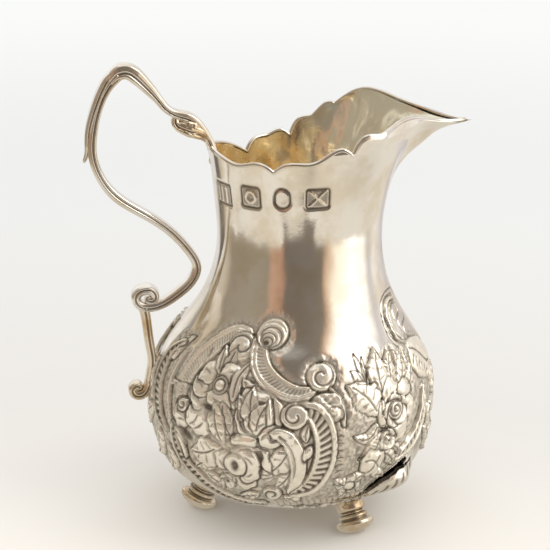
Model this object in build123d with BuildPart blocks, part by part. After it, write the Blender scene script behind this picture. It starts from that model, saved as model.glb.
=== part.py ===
from build123d import *
import os
from math import cos, radians, sin

os.makedirs("parts", exist_ok=True)

# Silver cream jug: a raised pear-shaped body with a wavy rim and a beak spout, a cast
# scroll handle in three soldered lengths, and three cast stepped feet.
# Millimetres, +Z up. The spout points to +X and the handle to -X. The origin is on the
# table, under the middle of the jug's overall length.

# ---- driving dimensions ----
SPOUT_REACH = 34.4  # from the jug's own axis to the tip of the beak
HANDLE_REACH = 41.2  # from the jug's own axis to the thorn on the handle's back
AXIS_X = (HANDLE_REACH - SPOUT_REACH) / 2  # the jug's own axis, so that the length is centred

# The body's outside, bottom to top: height, sideways shift of the centre, radius,
# how far the two lip lobes swell, and how far the beak juts out.
BODY_STATIONS = [
    (3.9, -0.1, 9.0, 0.0, 0.0),
    (4.9, -0.3, 14.7, 0.0, 0.0),
    (7.2, -0.5, 20.6, 0.0, 0.0),
    (11.5, -0.7, 25.6, 0.0, 0.0),
    (17.5, -0.75, 28.0, 0.0, 0.0),
    (24.0, -0.75, 28.6, 0.0, 0.0),
    (30.0, -0.55, 27.9, 0.0, 0.0),
    (36.0, -0.2, 25.2, 0.0, 0.0),
    (42.0, 0.3, 21.0, 0.0, 0.0),
    (48.0, 0.75, 18.0, 0.0, 0.0),
    (55.0, 1.05, 16.5, 0.0, 0.0),
    (62.0, 1.15, 16.6, 0.0, 0.2),
    (66.5, 1.2, 17.0, 0.3, 0.6),
    (70.0, 1.2, 17.2, 0.9, 1.3),
    (73.0, 1.2, 17.3, 1.7, 3.0),
    (76.0, 1.2, 17.3, 2.7, 5.0),
    (78.2, 1.2, 17.3, 3.3, 7.0),
    (79.2, 1.2, 17.3, 3.6, 13.2),
    (80.4, 1.2, 17.3, 3.8, 16.2),
    (85.0, 1.2, 17.3, 3.9, 16.6),
]
# The hollow inside it, 0.8 smaller, which widens under the beak a little later than the outside.
HOLLOW_STATIONS = [
    (4.7, -0.1, 8.6, 0.0, 0.0),
    (5.7, -0.3, 14.2, 0.0, 0.0),
    (7.9, -0.5, 19.9, 0.0, 0.0),
    (11.9, -0.7, 24.8, 0.0, 0.0),
    (17.6, -0.75, 27.2, 0.0, 0.0),
    (24.0, -0.75, 27.8, 0.0, 0.0),
    (29.8, -0.55, 27.1, 0.0, 0.0),
    (35.6, -0.2, 24.5, 0.0, 0.0),
    (41.6, 0.3, 20.3, 0.0, 0.0),
    (47.8, 0.75, 17.2, 0.0, 0.0),
    (55.0, 1.05, 15.7, 0.0, 0.0),
    (62.0, 1.15, 15.8, 0.0, 0.1),
    (66.5, 1.2, 16.2, 0.3, 0.4),
    (70.0, 1.2, 16.4, 0.8, 0.8),
    (73.0, 1.2, 16.5, 1.5, 1.9),
    (76.0, 1.2, 16.5, 2.5, 3.6),
    (78.2, 1.2, 16.5, 3.1, 5.4),
    (79.4, 1.2, 16.5, 3.4, 7.4),
    (80.6, 1.2, 16.5, 3.6, 11.6),
    (85.0, 1.2, 16.5, 3.7, 12.6),
]
BEAK_HALF_ANGLE = 6.0  # the outside of the beak, seen from above, falls to half at this angle
HOLLOW_BEAK_HALF_ANGLE = 5.2
LOBE_FULL_ANGLE = 50.0  # the lip lobes are full up to here and gone by the next angle
LOBE_END_ANGLE = 85.0
OUTLINE_POINTS = 17  # points on each side of an outline
BEAK_CROWDING = 1.6  # above 1, the points stand closer together at the beak

# The wavy rim, each side as lobes that meet in sharp notches: (x from the axis, height).
NEAR_LOBES = [
    [(-24, 75.5), (-15.1, 75.2), (-12.5, 74.1), (-8.2, 74.9), (-5.9, 73.5)],
    [(-5.9, 73.5), (-4.3, 74.8), (0.8, 75.3), (3.3, 76.4), (6.6, 78.0), (8.3, 76.9)],
    [(8.3, 76.9), (9.3, 79.0), (13.1, 80.5), (18.7, 81.7), (26.8, 80.5), (32, 79.5), (42, 79.3)],
]
FAR_LOBES = [
    [(-24, 75.5), (-15.4, 74.6), (-10.3, 72.3), (-7.8, 70.6)],
    [(-7.8, 70.6), (-7.0, 71.9), (-3.0, 73.5), (0.0, 74.2), (1.6, 73.1)],
    [(1.6, 73.1), (2.4, 75.0), (6.0, 76.9), (9.5, 79.5), (10.7, 79.1)],
    [(10.7, 79.1), (12.0, 80.1), (16.5, 82.8), (22.4, 82.2), (27.5, 80.8), (32, 79.5), (42, 79.3)],
]
RIM_CLEAR_HEIGHT = 90.0  # above everything that the rim is cut from
HALF_WIDTH = 32.0  # more than the body's half width

# The handle's centre lines in the upright plane through the spout: (x from the axis, height).
# The upper two run a little past the crest, where a mitre cuts both.
CREST_X = -32.7
MITRE_BLOCK = (4.0, 6.0, 6.0)  # clears the main scroll's end from the arm's side of the mitre
UPPER_ARM_LINE = [
    (-15.6, 74.0), (-17.2, 76.8), (-18.6, 79.1), (-20.4, 80.9), (-22.7, 81.8),
    (-24.9, 83.2), (-26.6, 85.3), (-28.4, 87.4), (-30.5, 89.5), (-32.7, 90.9), (-34.4, 91.6),
]
MAIN_SCROLL_LINE = [
    (-31.0, 91.6), (-32.7, 90.9), (-35.3, 89.0), (-37.7, 84.7), (-39.2, 79.4), (-39.5, 74.5),
    (-38.4, 70.8), (-35.4, 66.4), (-30.2, 62.7), (-25.0, 59.0), (-20.8, 54.2), (-19.5, 51.2),
    (-20.4, 48.6), (-23.2, 45.9), (-26.4, 44.4), (-29.3, 44.3), (-31.1, 45.7),
]
LOWER_BRACKET_LINE = [
    (-31.6, 43.8), (-30.2, 42.6), (-29.5, 40.5), (-29.3, 37.5), (-28.9, 34.6), (-28.6, 32.2),
    (-28.9, 30.2), (-29.5, 28.2), (-30.3, 26.3), (-31.7, 25.1), (-33.2, 25.5), (-33.5, 26.9),
]
ARM_SECTION = (1.9, 3.4)  # depth in the handle's plane, width across it
SCROLL_SECTION = (1.9, 3.2)
BRACKET_SECTION = (1.4, 2.9)
SECTION_CORNER = 0.45
GROOVE_RADIUS = 0.3  # the groove down each side
VOLUTE_EYE = (-28.9, 46.5, 1.3)  # x from the axis, height and radius of the rolled end
LEAF_KNOB = (-20.6, 79.6, 2.3, 1.3)  # x from the axis, height, half length, half depth
THORN_FOOT = (-39.2, 74.2)
THORN_TIP = (-41.0, 72.1)
THORN_RADII = (0.9, 0.25)

# Three feet: each is a stack of rings turned on an axis that leans in to the body.
FOOT_ANGLES = {"foot_handle_side": 180, "foot_spout_near": -60, "foot_spout_far": 60}
FOOT_CIRCLE = 19.9
FOOT_LEAN = 26.0
FOOT_HEIGHT = 1.4  # the middle of the pad's widest ring
FOOT_PROFILE = [
    (0, -1.5), (2.2, -1.1), (3.2, -0.4), (3.45, 0.3), (3.15, 0.9), (2.55, 1.15), (2.8, 1.6),
    (2.55, 2.05), (2.1, 2.25), (2.3, 2.7), (2.1, 3.4), (1.75, 4.4), (1.85, 5.8), (2.3, 7.5),
]


def outline_angles():
    """Angles round an outline, in degrees, dense at the beak and closed at the back."""
    steps = range(1, OUTLINE_POINTS + 1)
    side = [180 * (k / OUTLINE_POINTS) ** BEAK_CROWDING for k in steps]
    return [0] + side + [-a for a in reversed(side[:-1])]


def outline(station, half_angle):
    """Points of the outline at one station, in its level plane."""
    _, shift, radius, lobe, beak = station
    points = []
    for angle in outline_angles():
        fade = (LOBE_END_ANGLE - abs(angle)) / (LOBE_END_ANGLE - LOBE_FULL_ANGLE)
        fade = min(max(fade, 0), 1)
        swell = lobe * fade * fade * (3 - 2 * fade)
        reach = radius + swell + beak / (1 + (angle / half_angle) ** 2)
        centre = AXIS_X + shift
        points.append((centre + reach * cos(radians(angle)), reach * sin(radians(angle))))
    return points


def from_axis(points):
    """Points of the handle's plane, given from the jug's axis, in the part's own frame."""
    return [(AXIS_X + x, 0, z) for x, z in points]


# ---- the body's outer form, which also trims the feet and the handle ----
with BuildPart() as form:
    for station in BODY_STATIONS:
        with BuildSketch(Plane.XY.offset(station[0])):
            with BuildLine():
                Spline(outline(station, BEAK_HALF_ANGLE), periodic=True)
            make_face()
    loft()

# ---- the hollow inside it ----
with BuildPart() as hollow:
    for station in HOLLOW_STATIONS:
        with BuildSketch(Plane.XY.offset(station[0])):
            with BuildLine():
                Spline(outline(station, HOLLOW_BEAK_HALF_ANGLE), periodic=True)
            make_face()
    loft()

# ---- what is cut away above the wavy rim, a block for each side ----
with BuildPart() as above_rim:
    for lobes, side in ((NEAR_LOBES, 1), (FAR_LOBES, -1)):
        with BuildSketch(Plane.XZ):
            with BuildLine():
                for lobe in lobes:
                    Spline([(AXIS_X + x, z) for x, z in lobe])
                first_x, first_z = AXIS_X + lobes[0][0][0], lobes[0][0][1]
                last_x, last_z = AXIS_X + lobes[-1][-1][0], lobes[-1][-1][1]
                Polyline(
                    (last_x, last_z),
                    (last_x, RIM_CLEAR_HEIGHT),
                    (first_x, RIM_CLEAR_HEIGHT),
                    (first_x, first_z),
                )
            make_face()
        extrude(amount=side * HALF_WIDTH)

# ---- body: one raised sheet, open at the rim ----
with BuildPart() as body:
    add(form.part)
    add(hollow.part, mode=Mode.SUBTRACT)
    add(above_rim.part, mode=Mode.SUBTRACT)
body.part.label = "body"
export_step(body.part, "parts/body.step")


def strip(line, size):
    """A grooved strip of one size, swept along a centre line in the handle's plane."""
    depth, width = size
    with BuildLine() as centre_line:
        Spline(from_axis(line))
    path = centre_line.line
    with BuildSketch(Plane(path @ 0, x_dir=(0, 1, 0), z_dir=path % 0)) as section:
        RectangleRounded(width, depth, SECTION_CORNER)
        with Locations((-width / 2, 0), (width / 2, 0)):
            Circle(GROOVE_RADIUS, mode=Mode.SUBTRACT)
    return sweep(sections=section.sketch, path=path, mode=Mode.PRIVATE)


crest = Plane(origin=(AXIS_X + CREST_X, 0, 0), x_dir=(0, 1, 0), z_dir=(1, 0, 0))

# ---- handle_upper_arm: from the rim up to the crest, with a curled leaf under it ----
with BuildPart() as handle_upper_arm:
    add(strip(UPPER_ARM_LINE, ARM_SECTION))
    split(bisect_by=crest, keep=Keep.TOP)
    knob_x, knob_z, knob_length, knob_depth = LEAF_KNOB
    knob_plane = Plane((AXIS_X + knob_x, 0, knob_z), x_dir=(1, 0, 0), z_dir=(0, -1, 0))
    with BuildSketch(knob_plane):
        Ellipse(knob_length, knob_depth)
        split(bisect_by=Plane.XZ)
    revolve(axis=Axis(knob_plane.origin, knob_plane.x_dir))
    add(form.part, mode=Mode.SUBTRACT)
handle_upper_arm.part.label = "handle_upper_arm"
export_step(handle_upper_arm.part, "parts/handle_upper_arm.step")

# ---- handle_main_scroll: from the crest down and round to the volute, with its thorn ----
with BuildPart() as handle_main_scroll:
    add(strip(MAIN_SCROLL_LINE, SCROLL_SECTION))
    with Locations((AXIS_X + CREST_X, 0, MAIN_SCROLL_LINE[0][1])):
        Box(*MITRE_BLOCK, align=(Align.MIN, Align.CENTER, Align.CENTER), mode=Mode.SUBTRACT)
    eye_x, eye_z, eye_radius = VOLUTE_EYE
    with BuildSketch(Plane((AXIS_X + eye_x, 0, eye_z), x_dir=(1, 0, 0), z_dir=(0, -1, 0))):
        Circle(eye_radius)
    extrude(amount=SCROLL_SECTION[1] / 2, both=True)
    foot_point, tip_point = (Vector(*p) for p in from_axis([THORN_FOOT, THORN_TIP]))
    for point, radius in zip((foot_point, tip_point), THORN_RADII):
        with BuildSketch(Plane(point, x_dir=(0, 1, 0), z_dir=tip_point - foot_point)):
            Circle(radius)
    loft()
handle_main_scroll.part.label = "handle_main_scroll"
export_step(handle_main_scroll.part, "parts/handle_main_scroll.step")

# ---- handle_lower_bracket: from under the volute to the belly, ending in a small curl ----
with BuildPart() as handle_lower_bracket:
    add(strip(LOWER_BRACKET_LINE, BRACKET_SECTION))
    add(form.part, mode=Mode.SUBTRACT)
    add(handle_main_scroll.part, mode=Mode.SUBTRACT)
handle_lower_bracket.part.label = "handle_lower_bracket"
export_step(handle_lower_bracket.part, "parts/handle_lower_bracket.step")

# ---- the three feet ----
for name, angle in FOOT_ANGLES.items():
    outward = Vector(cos(radians(angle)), sin(radians(angle)), 0)
    upward = Vector(0, 0, 1)
    centre = outward * FOOT_CIRCLE + Vector(AXIS_X, 0, FOOT_HEIGHT)
    turning = upward * cos(radians(FOOT_LEAN)) - outward * sin(radians(FOOT_LEAN))
    toe = outward * cos(radians(FOOT_LEAN)) + upward * sin(radians(FOOT_LEAN))
    with BuildPart() as foot:
        with BuildSketch(Plane(centre, x_dir=toe, z_dir=toe.cross(turning))):
            with BuildLine():
                Spline(FOOT_PROFILE)
                Polyline(FOOT_PROFILE[-1], (0, FOOT_PROFILE[-1][1]), FOOT_PROFILE[0])
            make_face()
        revolve(axis=Axis(centre, turning))
        split(bisect_by=Plane.XY, keep=Keep.TOP)
        add(form.part, mode=Mode.SUBTRACT)
    foot.part.label = name
    export_step(foot.part, f"parts/{name}.step")
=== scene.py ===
"""Silver cream jug: the visual model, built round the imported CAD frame.

Sizes inside the script are millimetres from the jug's own upright axis, x to the spout,
y to the far side and z up. put() moves them to the frame's metres.
"""
import math

import bpy
import numpy as np
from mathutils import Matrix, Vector


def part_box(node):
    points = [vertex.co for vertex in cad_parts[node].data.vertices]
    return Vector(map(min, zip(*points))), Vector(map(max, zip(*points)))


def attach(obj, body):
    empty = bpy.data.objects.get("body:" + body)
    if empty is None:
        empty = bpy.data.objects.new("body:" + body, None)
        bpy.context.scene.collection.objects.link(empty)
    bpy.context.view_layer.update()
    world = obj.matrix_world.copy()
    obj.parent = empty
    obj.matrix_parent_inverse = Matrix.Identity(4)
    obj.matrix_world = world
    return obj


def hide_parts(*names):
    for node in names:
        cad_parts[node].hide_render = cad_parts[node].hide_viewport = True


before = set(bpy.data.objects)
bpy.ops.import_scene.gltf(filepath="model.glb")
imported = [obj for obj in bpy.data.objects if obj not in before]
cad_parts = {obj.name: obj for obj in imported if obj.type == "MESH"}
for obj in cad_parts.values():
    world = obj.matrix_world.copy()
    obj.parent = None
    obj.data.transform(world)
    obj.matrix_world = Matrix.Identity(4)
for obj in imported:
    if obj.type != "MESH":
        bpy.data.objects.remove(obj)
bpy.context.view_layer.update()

MM = 0.001
BELLY_BACK = 29.35  # from the jug's axis to the back of its belly
AXIS = Vector((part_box("body")[0].x + BELLY_BACK * MM, 0, 0))


# ---------------------------------------------------------------- curves and surfaces
def smooth(xs, ys):
    """The natural cubic spline through points, as a function of numpy arrays."""
    xs, ys = np.asarray(xs, float), np.asarray(ys, float)
    gap, count = np.diff(xs), len(xs)
    matrix, right = np.eye(count), np.zeros((count,) + ys.shape[1:])
    slope = (np.diff(ys, axis=0).T / gap).T
    for i in range(1, count - 1):
        matrix[i, i - 1:i + 2] = gap[i - 1], 2 * (gap[i - 1] + gap[i]), gap[i]
        right[i] = 6 * (slope[i] - slope[i - 1])
    bend = np.linalg.solve(matrix, right)

    def at(x):
        x = np.asarray(x, float)
        i = np.clip(np.searchsorted(xs, x) - 1, 0, count - 2)
        a, b, h = x - xs[i], xs[i + 1] - x, gap[i]
        if ys.ndim > 1:
            a, b, h = a[..., None], b[..., None], h[..., None]
        return (bend[i] * b ** 3 + bend[i + 1] * a ** 3) / (6 * h) + (
            (ys[i] / h - bend[i] * h / 6) * b + (ys[i + 1] / h - bend[i + 1] * h / 6) * a)

    return at


def line_through(points, step):
    """Even samples along a smooth line through points of any dimension, and their lengths."""
    points = np.asarray(points, float)
    along = np.concatenate([[0], np.cumsum(np.linalg.norm(np.diff(points, axis=0), axis=1))])
    curve = smooth(along, points)
    dense = curve(np.linspace(0, along[-1], 40 * len(points)))
    run = np.concatenate([[0], np.cumsum(np.linalg.norm(np.diff(dense, axis=0), axis=1))])
    even = np.linspace(0, run[-1], max(int(run[-1] / step), 8) + 1)
    return np.stack([np.interp(even, run, dense[:, k]) for k in range(points.shape[1])], 1), even


def step_up(x):
    """0 below 0, 1 above 1, smooth between."""
    x = np.clip(x, 0, 1)
    return x * x * (3 - 2 * x)


def bump(value, centre, width):
    """1 at the centre, falling away softly on both sides."""
    return np.exp(-((value - centre) / width) ** 2)


def swung(x, y, degrees):
    """Offsets seen along and across a direction."""
    c, s = math.cos(math.radians(degrees)), math.sin(math.radians(degrees))
    return x * c + y * s, y * c - x * s


def unit(vectors):
    """A list of vectors, each made one long."""
    return vectors / np.linalg.norm(vectors, axis=1)[:, None]


def profile_at(share, values):
    """Evenly spaced values read at a share of the whole length."""
    return np.interp(share, np.linspace(0, 1, len(values)), values)


def compass(degrees):
    """The outward direction at each angle from the spout."""
    turn = np.radians(degrees)
    return np.stack([np.cos(turn), np.sin(turn), 0 * turn], -1)


# Height, sideways shift, radius, swell of the lip lobes, reach of the beak. They follow the CAD
# body, but the beak is a little wider and fuller below, and its inside reaches further forward.
OUTSIDE = [
    (3.6, 0, 0, 0, 0), (3.65, 0, 4.5, 0, 0), (3.9, -0.1, 9.0, 0, 0), (4.9, -0.3, 14.7, 0, 0),
    (7.2, -0.5, 20.6, 0, 0), (11.5, -0.7, 25.6, 0, 0), (17.5, -0.75, 28.0, 0, 0),
    (24, -0.75, 28.6, 0, 0), (30, -0.55, 27.9, 0, 0), (36, -0.2, 25.2, 0, 0),
    (42, 0.3, 21.0, 0, 0), (48, 0.75, 18.0, 0, 0), (55, 1.05, 16.5, 0, 0),
    (62, 1.15, 16.6, 0, 0.2), (66.5, 1.2, 17.0, 0.3, 0.6), (70, 1.2, 17.2, 0.9, 1.3),
    (73, 1.2, 17.3, 1.7, 3.0), (76, 1.2, 17.3, 2.7, 5.7), (78.2, 1.2, 17.3, 3.3, 9.4),
    (79.2, 1.2, 17.3, 3.6, 13.2), (80.4, 1.2, 17.3, 3.8, 16.2), (85, 1.2, 17.3, 3.9, 16.6),
]
INSIDE = [
    (4.4, 0, 0, 0, 0), (4.45, 0, 4.4, 0, 0), (4.7, -0.1, 8.6, 0, 0), (5.7, -0.3, 14.2, 0, 0),
    (7.9, -0.5, 19.9, 0, 0), (11.9, -0.7, 24.8, 0, 0), (17.6, -0.75, 27.2, 0, 0),
    (24, -0.75, 27.8, 0, 0), (29.8, -0.55, 27.1, 0, 0), (35.6, -0.2, 24.5, 0, 0),
    (41.6, 0.3, 20.3, 0, 0), (47.8, 0.75, 17.2, 0, 0), (55, 1.05, 15.7, 0, 0),
    (62, 1.15, 15.8, 0, 0.1), (66.5, 1.2, 16.2, 0.3, 0.4), (70, 1.2, 16.4, 0.8, 0.8),
    (73, 1.2, 16.5, 1.5, 1.9), (76, 1.2, 16.5, 2.5, 4.3), (78.2, 1.2, 16.5, 3.1, 7.6),
    (79.4, 1.2, 16.5, 3.4, 11.8), (80.6, 1.2, 16.5, 3.6, 14.6), (85, 1.2, 16.5, 3.7, 15.2),
]
LOBE_FULL, LOBE_END = 50, 85  # degrees from the spout
RIM_GUESS = 77.0
NEAR_RIM = [
    [(-24, 75.5), (-15.1, 75.2), (-12.5, 74.1), (-8.2, 74.9), (-5.9, 73.5)],
    [(-5.9, 73.5), (-4.3, 74.8), (0.8, 75.3), (3.3, 76.4), (6.6, 78.0), (8.3, 76.9)],
    [(8.3, 76.9), (9.3, 79.0), (13.1, 80.5), (18.7, 81.7), (26.8, 80.5), (32, 79.5), (42, 79.3)],
]
FAR_RIM = [
    [(-24, 75.5), (-15.4, 74.6), (-10.3, 72.3), (-7.8, 70.6)],
    [(-7.8, 70.6), (-7.0, 71.9), (-3.0, 73.5), (0.0, 74.2), (1.6, 73.1)],
    [(1.6, 73.1), (2.4, 75.0), (6.0, 76.9), (9.5, 79.5), (10.7, 79.1)],
    [(10.7, 79.1), (12, 80.1), (16.5, 82.8), (22.4, 82.2), (27.5, 80.8), (32, 79.5), (42, 79.3)],
]


class Skin:
    """A jug-shaped surface: a point for each angle from the spout and meridian place."""

    def __init__(self, stations, half_angle):
        table = np.array(stations, float)
        steps = np.linalg.norm(np.diff(table[:, [0, 2]], axis=0), axis=1)
        self.places = np.concatenate([[0], np.cumsum(steps)])
        self.curve = smooth(self.places, table)
        self.half_angle = half_angle
        self.dense = np.linspace(0, self.places[-1], 4000)
        dense = self.curve(self.dense)
        self.heights = np.maximum.accumulate(dense[:, 0])
        self.radii = np.maximum(dense[:, 2], 0.5)

    def place(self, height):
        """How far up the meridian a height is."""
        return np.interp(height, self.heights, self.dense)

    def __call__(self, angle, place):
        height, shift, radius, lobe, beak = np.moveaxis(self.curve(place), -1, 0)
        off = np.abs((angle + 180) % 360 - 180)
        swell = lobe * step_up((LOBE_END - off) / (LOBE_END - LOBE_FULL))
        reach = np.maximum(radius, 0) + swell + beak / (1 + (off / self.half_angle) ** 2)
        turn = np.radians(angle)
        return np.stack([shift + reach * np.cos(turn), reach * np.sin(turn), height], -1)


outside = Skin(OUTSIDE, half_angle=7.2)  # where the beak has half its reach, in degrees
inside = Skin(INSIDE, half_angle=6.4)


def rim_height(angle):
    """The wavy rim's height at each angle from the spout, found step by step."""
    height = np.full(len(angle), RIM_GUESS)
    for _ in range(25):
        x = outside(angle, outside.place(height))[:, 0]
        wanted = np.zeros(len(angle))
        for lobes, mine in ((NEAR_RIM, angle < 0), (FAR_RIM, angle >= 0)):
            for lobe in lobes:
                xs, zs = zip(*lobe)
                here = mine & (x >= xs[0]) & (x <= xs[-1])
                wanted[here] = smooth(xs, zs)(x[here])
        height = height + 0.6 * (wanted - height)
    return height


# ---------------------------------------------------------------- meshes
def put(name, points, quads, material, replaces=(), fans=()):
    """A finished piece: millimetre points to a mesh in the frame, riding on the root body."""
    points = np.asarray(points, float) * MM + np.array(AXIS)
    quads = np.asarray(quads).reshape(-1, 4)
    fans = np.asarray(fans, int).reshape(-1, 3)
    mesh = bpy.data.meshes.new(name)
    mesh.vertices.add(len(points))
    mesh.vertices.foreach_set("co", points.ravel())
    mesh.loops.add(quads.size + fans.size)
    corners = np.concatenate([quads.ravel(), fans.ravel()]).astype(np.int32)
    mesh.loops.foreach_set("vertex_index", corners)
    starts = np.concatenate([np.arange(0, quads.size, 4), quads.size + np.arange(0, fans.size, 3)])
    mesh.polygons.add(len(starts))
    mesh.polygons.foreach_set("loop_start", starts.astype(np.int32))
    mesh.update(calc_edges=True)
    mesh.validate()
    mesh.polygons.foreach_set("use_smooth", np.full(len(mesh.polygons), True))
    mesh.materials.append(material)
    piece = bpy.data.objects.new(name, mesh)
    bpy.context.scene.collection.objects.link(piece)
    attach(piece, "root")
    if replaces:
        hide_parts(*replaces)
    return piece


def fan(centre, ring, flip=False):
    """Triangles from a centre vertex to a closed ring of vertices."""
    ring = np.asarray(ring)
    after = np.roll(ring, -1)
    first, second = (after, ring) if flip else (ring, after)
    return np.stack([np.full(len(ring), centre), first, second], 1)


def grid_quads(rows, columns):
    """Faces of a grid of rows by columns that closes on itself."""
    row, column = np.meshgrid(np.arange(rows - 1), np.arange(columns), indexing="ij")
    low, after = row * columns, (column + 1) % columns
    corners = [low + column, low + after, low + columns + after, low + columns + column]
    return np.stack(corners, -1).reshape(-1, 4)


# ---------------------------------------------------------------- node materials
def node_adder(tree):
    """A short way to add nodes to a tree."""
    def add(kind, inputs=None, **settings):
        node = tree.nodes.new("ShaderNode" + kind)
        for key, value in settings.items():
            setattr(node, key, value)
        for key, value in (inputs or {}).items():
            if isinstance(value, bpy.types.NodeSocket):
                tree.links.new(value, node.inputs[key])
            else:
                node.inputs[key].default_value = value
        return node
    return add


def new_material(name):
    """An empty node material and a short way to add nodes to it."""
    material = bpy.data.materials.new(name)
    material.use_nodes = True
    material.node_tree.nodes.clear()
    return material, node_adder(material.node_tree)


def show(tree, kind, shader):
    """Send a shader to the tree's output node of a kind."""
    out = tree.nodes.new("ShaderNodeOutput" + kind)
    tree.links.new(shader.outputs[0], out.inputs[0])


def calc(add, operation, *values, clamp=False):
    """The result of a math node."""
    return add("Math", dict(enumerate(values)), operation=operation, use_clamp=clamp).outputs[0]


def remap(add, value, low, high, to_low=0.0, to_high=1.0, **settings):
    """A value's way from low to high, as a value from to_low to to_high."""
    inputs = dict(enumerate([value, low, high, to_low, to_high]))
    return add("MapRange", inputs, **settings).outputs[0]


def noise(add, place, scale, detail, roughness=0.5):
    """A cloudy noise value."""
    inputs = {"Vector": place, "Scale": scale, "Detail": detail, "Roughness": roughness}
    return add("TexNoise", inputs).outputs[0]


def vertex_value(add, name):
    """One of the numbers stored on the vertices."""
    return add("Attribute", attribute_name=name).outputs["Fac"]


def mix_colour(add, factor, first, second):
    """The result of a colour mix."""
    return add("Mix", {0: factor, 6: first, 7: second}, data_type="RGBA").outputs[2]


def ramp(add, factor, stops, ease="LINEAR"):
    """A colour ramp's result; stops are (place, grey or colour)."""
    node = add("ValToRGB", {0: factor})
    band = node.color_ramp
    band.interpolation = ease
    while len(band.elements) > 1:
        band.elements.remove(band.elements[-1])
    for i, (place, colour) in enumerate(stops):
        element = band.elements[0] if i == 0 else band.elements.new(place)
        element.position = place
        element.color = (colour if isinstance(colour, tuple) else (colour,) * 3) + (1,)
    return node.outputs[0]


SILVER = (0.955, 0.925, 0.865, 1)
CREAM = (0.97, 0.90, 0.765, 1)
WARM_TARNISH = (0.84, 0.76, 0.62, 1)
GOLD_BROWN = (0.70, 0.53, 0.33, 1)
PALE_BRASS = (0.88, 0.80, 0.66, 1)
# Dark oxide, also standing for painted shade: in the chased hollows, the tear, under the beak's tip and
# on the lining.
OXIDE_AND_SHADE = (0.15, 0.125, 0.095, 1)
GILT = (0.95, 0.72, 0.38, 1)
GILT_WORN = (0.90, 0.86, 0.70, 1)


def silver_material(name, polish, tarnish, scratches, warmth=WARM_TARNISH, plain=SILVER):
    """Worn silver: cloudy tarnish, fine scratches, and a dark colour where the recess value is high:
    oxide with painted shade in the chased hollows and the tear, and painted shade alone under the beak's
    tip.
    """
    material, add = new_material(name)
    place = add("TexCoord").outputs["Object"]
    cloud = noise(add, place, 95, 5, 0.6)
    speck = noise(add, place, 900, 3, 0.7)
    stretch = add("Mapping", {"Vector": place, "Scale": (1, 1, 0.12)}).outputs[0]
    scratch = noise(add, stretch, 2600, 2)
    recess, worked = vertex_value(add, "recess"), vertex_value(add, "worked")
    clouded = ramp(add, cloud, [(0.42, 0.0), (0.62, 1.0)], "EASE")
    toned = mix_colour(add, calc(add, "MULTIPLY", clouded, tarnish), plain, warmth)
    creamy = mix_colour(add, calc(add, "MULTIPLY", worked, 0.75), toned, CREAM)
    dirt = remap(add, speck, 0.3, 0.75, 0.85, 1.15)
    # Oxide and painted shade: darkening where the recess value is high.
    oxide_and_shade_amount = calc(add, "MULTIPLY", remap(add, recess, 0.0, 0.8), dirt, clamp=True)
    colour = mix_colour(add, oxide_and_shade_amount, creamy, OXIDE_AND_SHADE)
    base_rough = remap(add, cloud, 0.35, 0.7, polish, polish + 0.14)
    matt = calc(add, "MULTIPLY_ADD", worked, 0.12, base_rough)
    rough = calc(add, "MULTIPLY_ADD", oxide_and_shade_amount, 0.25, matt)
    bright = remap(add, worked, 0.0, 1.0, 0.98, 0.77)
    lines = calc(add, "MULTIPLY_ADD", scratch, 0.25, speck)
    relief = add("Bump", {"Height": lines, "Strength": scratches, "Distance": 0.00004})
    shader = add("BsdfPrincipled", {"Base Color": colour, "Roughness": rough, "Metallic": bright,
                                    "Normal": relief.outputs[0]})
    show(material.node_tree, "Material", shader)
    return material


def gilt_material():
    """The gilded inside: gold-brown, worn to greenish silver towards the beak, dark where the recess
    value is high: painted shade round the tear and in a lobe of the far lip, and darker towards the
    bottom.
    """
    material, add = new_material("worn_gilding")
    place = add("TexCoord").outputs["Object"]
    cloud = noise(add, place, 120, 6, 0.65)
    worn, recess = vertex_value(add, "worn"), vertex_value(add, "recess")
    patchy = remap(add, cloud, 0.35, 0.65, -0.25, 0.25)
    bare = calc(add, "ADD", worn, patchy, clamp=True)
    colour = mix_colour(add, recess, mix_colour(add, bare, GILT, GILT_WORN), OXIDE_AND_SHADE)
    dull = remap(add, cloud, 0.3, 0.7, 0.16, 0.38)
    rough = calc(add, "MULTIPLY_ADD", bare, -0.10, dull)
    bright = remap(add, bare, 0.0, 1.0, 0.92, 0.82)
    relief = add("Bump", {"Height": cloud, "Strength": 0.5, "Distance": 0.0007})
    shader = add("BsdfPrincipled", {"Base Color": colour, "Roughness": rough, "Metallic": bright,
                                    "Normal": relief.outputs[0]})
    show(material.node_tree, "Material", shader)
    return material


# ---------------------------------------------------------------- chased relief
def grain(angle, place, size, seed):
    """Smooth random values over the skin, of a given size in millimetres."""
    columns, rows = int(180 / size), int(130 / size) + 2
    lattice = np.random.default_rng(seed).random((rows, columns))
    x, y = (angle % 360) / 360 * columns, place / size
    i, j = np.floor(x).astype(int), np.clip(np.floor(y).astype(int), 0, rows - 2)
    u, v = step_up(x - i), step_up(y - j)
    i, k = i % columns, (i + 1) % columns
    low = lattice[j, i] * (1 - u) + lattice[j, k] * u
    return low * (1 - v) + (lattice[j + 1, i] * (1 - u) + lattice[j + 1, k] * u) * v


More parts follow.
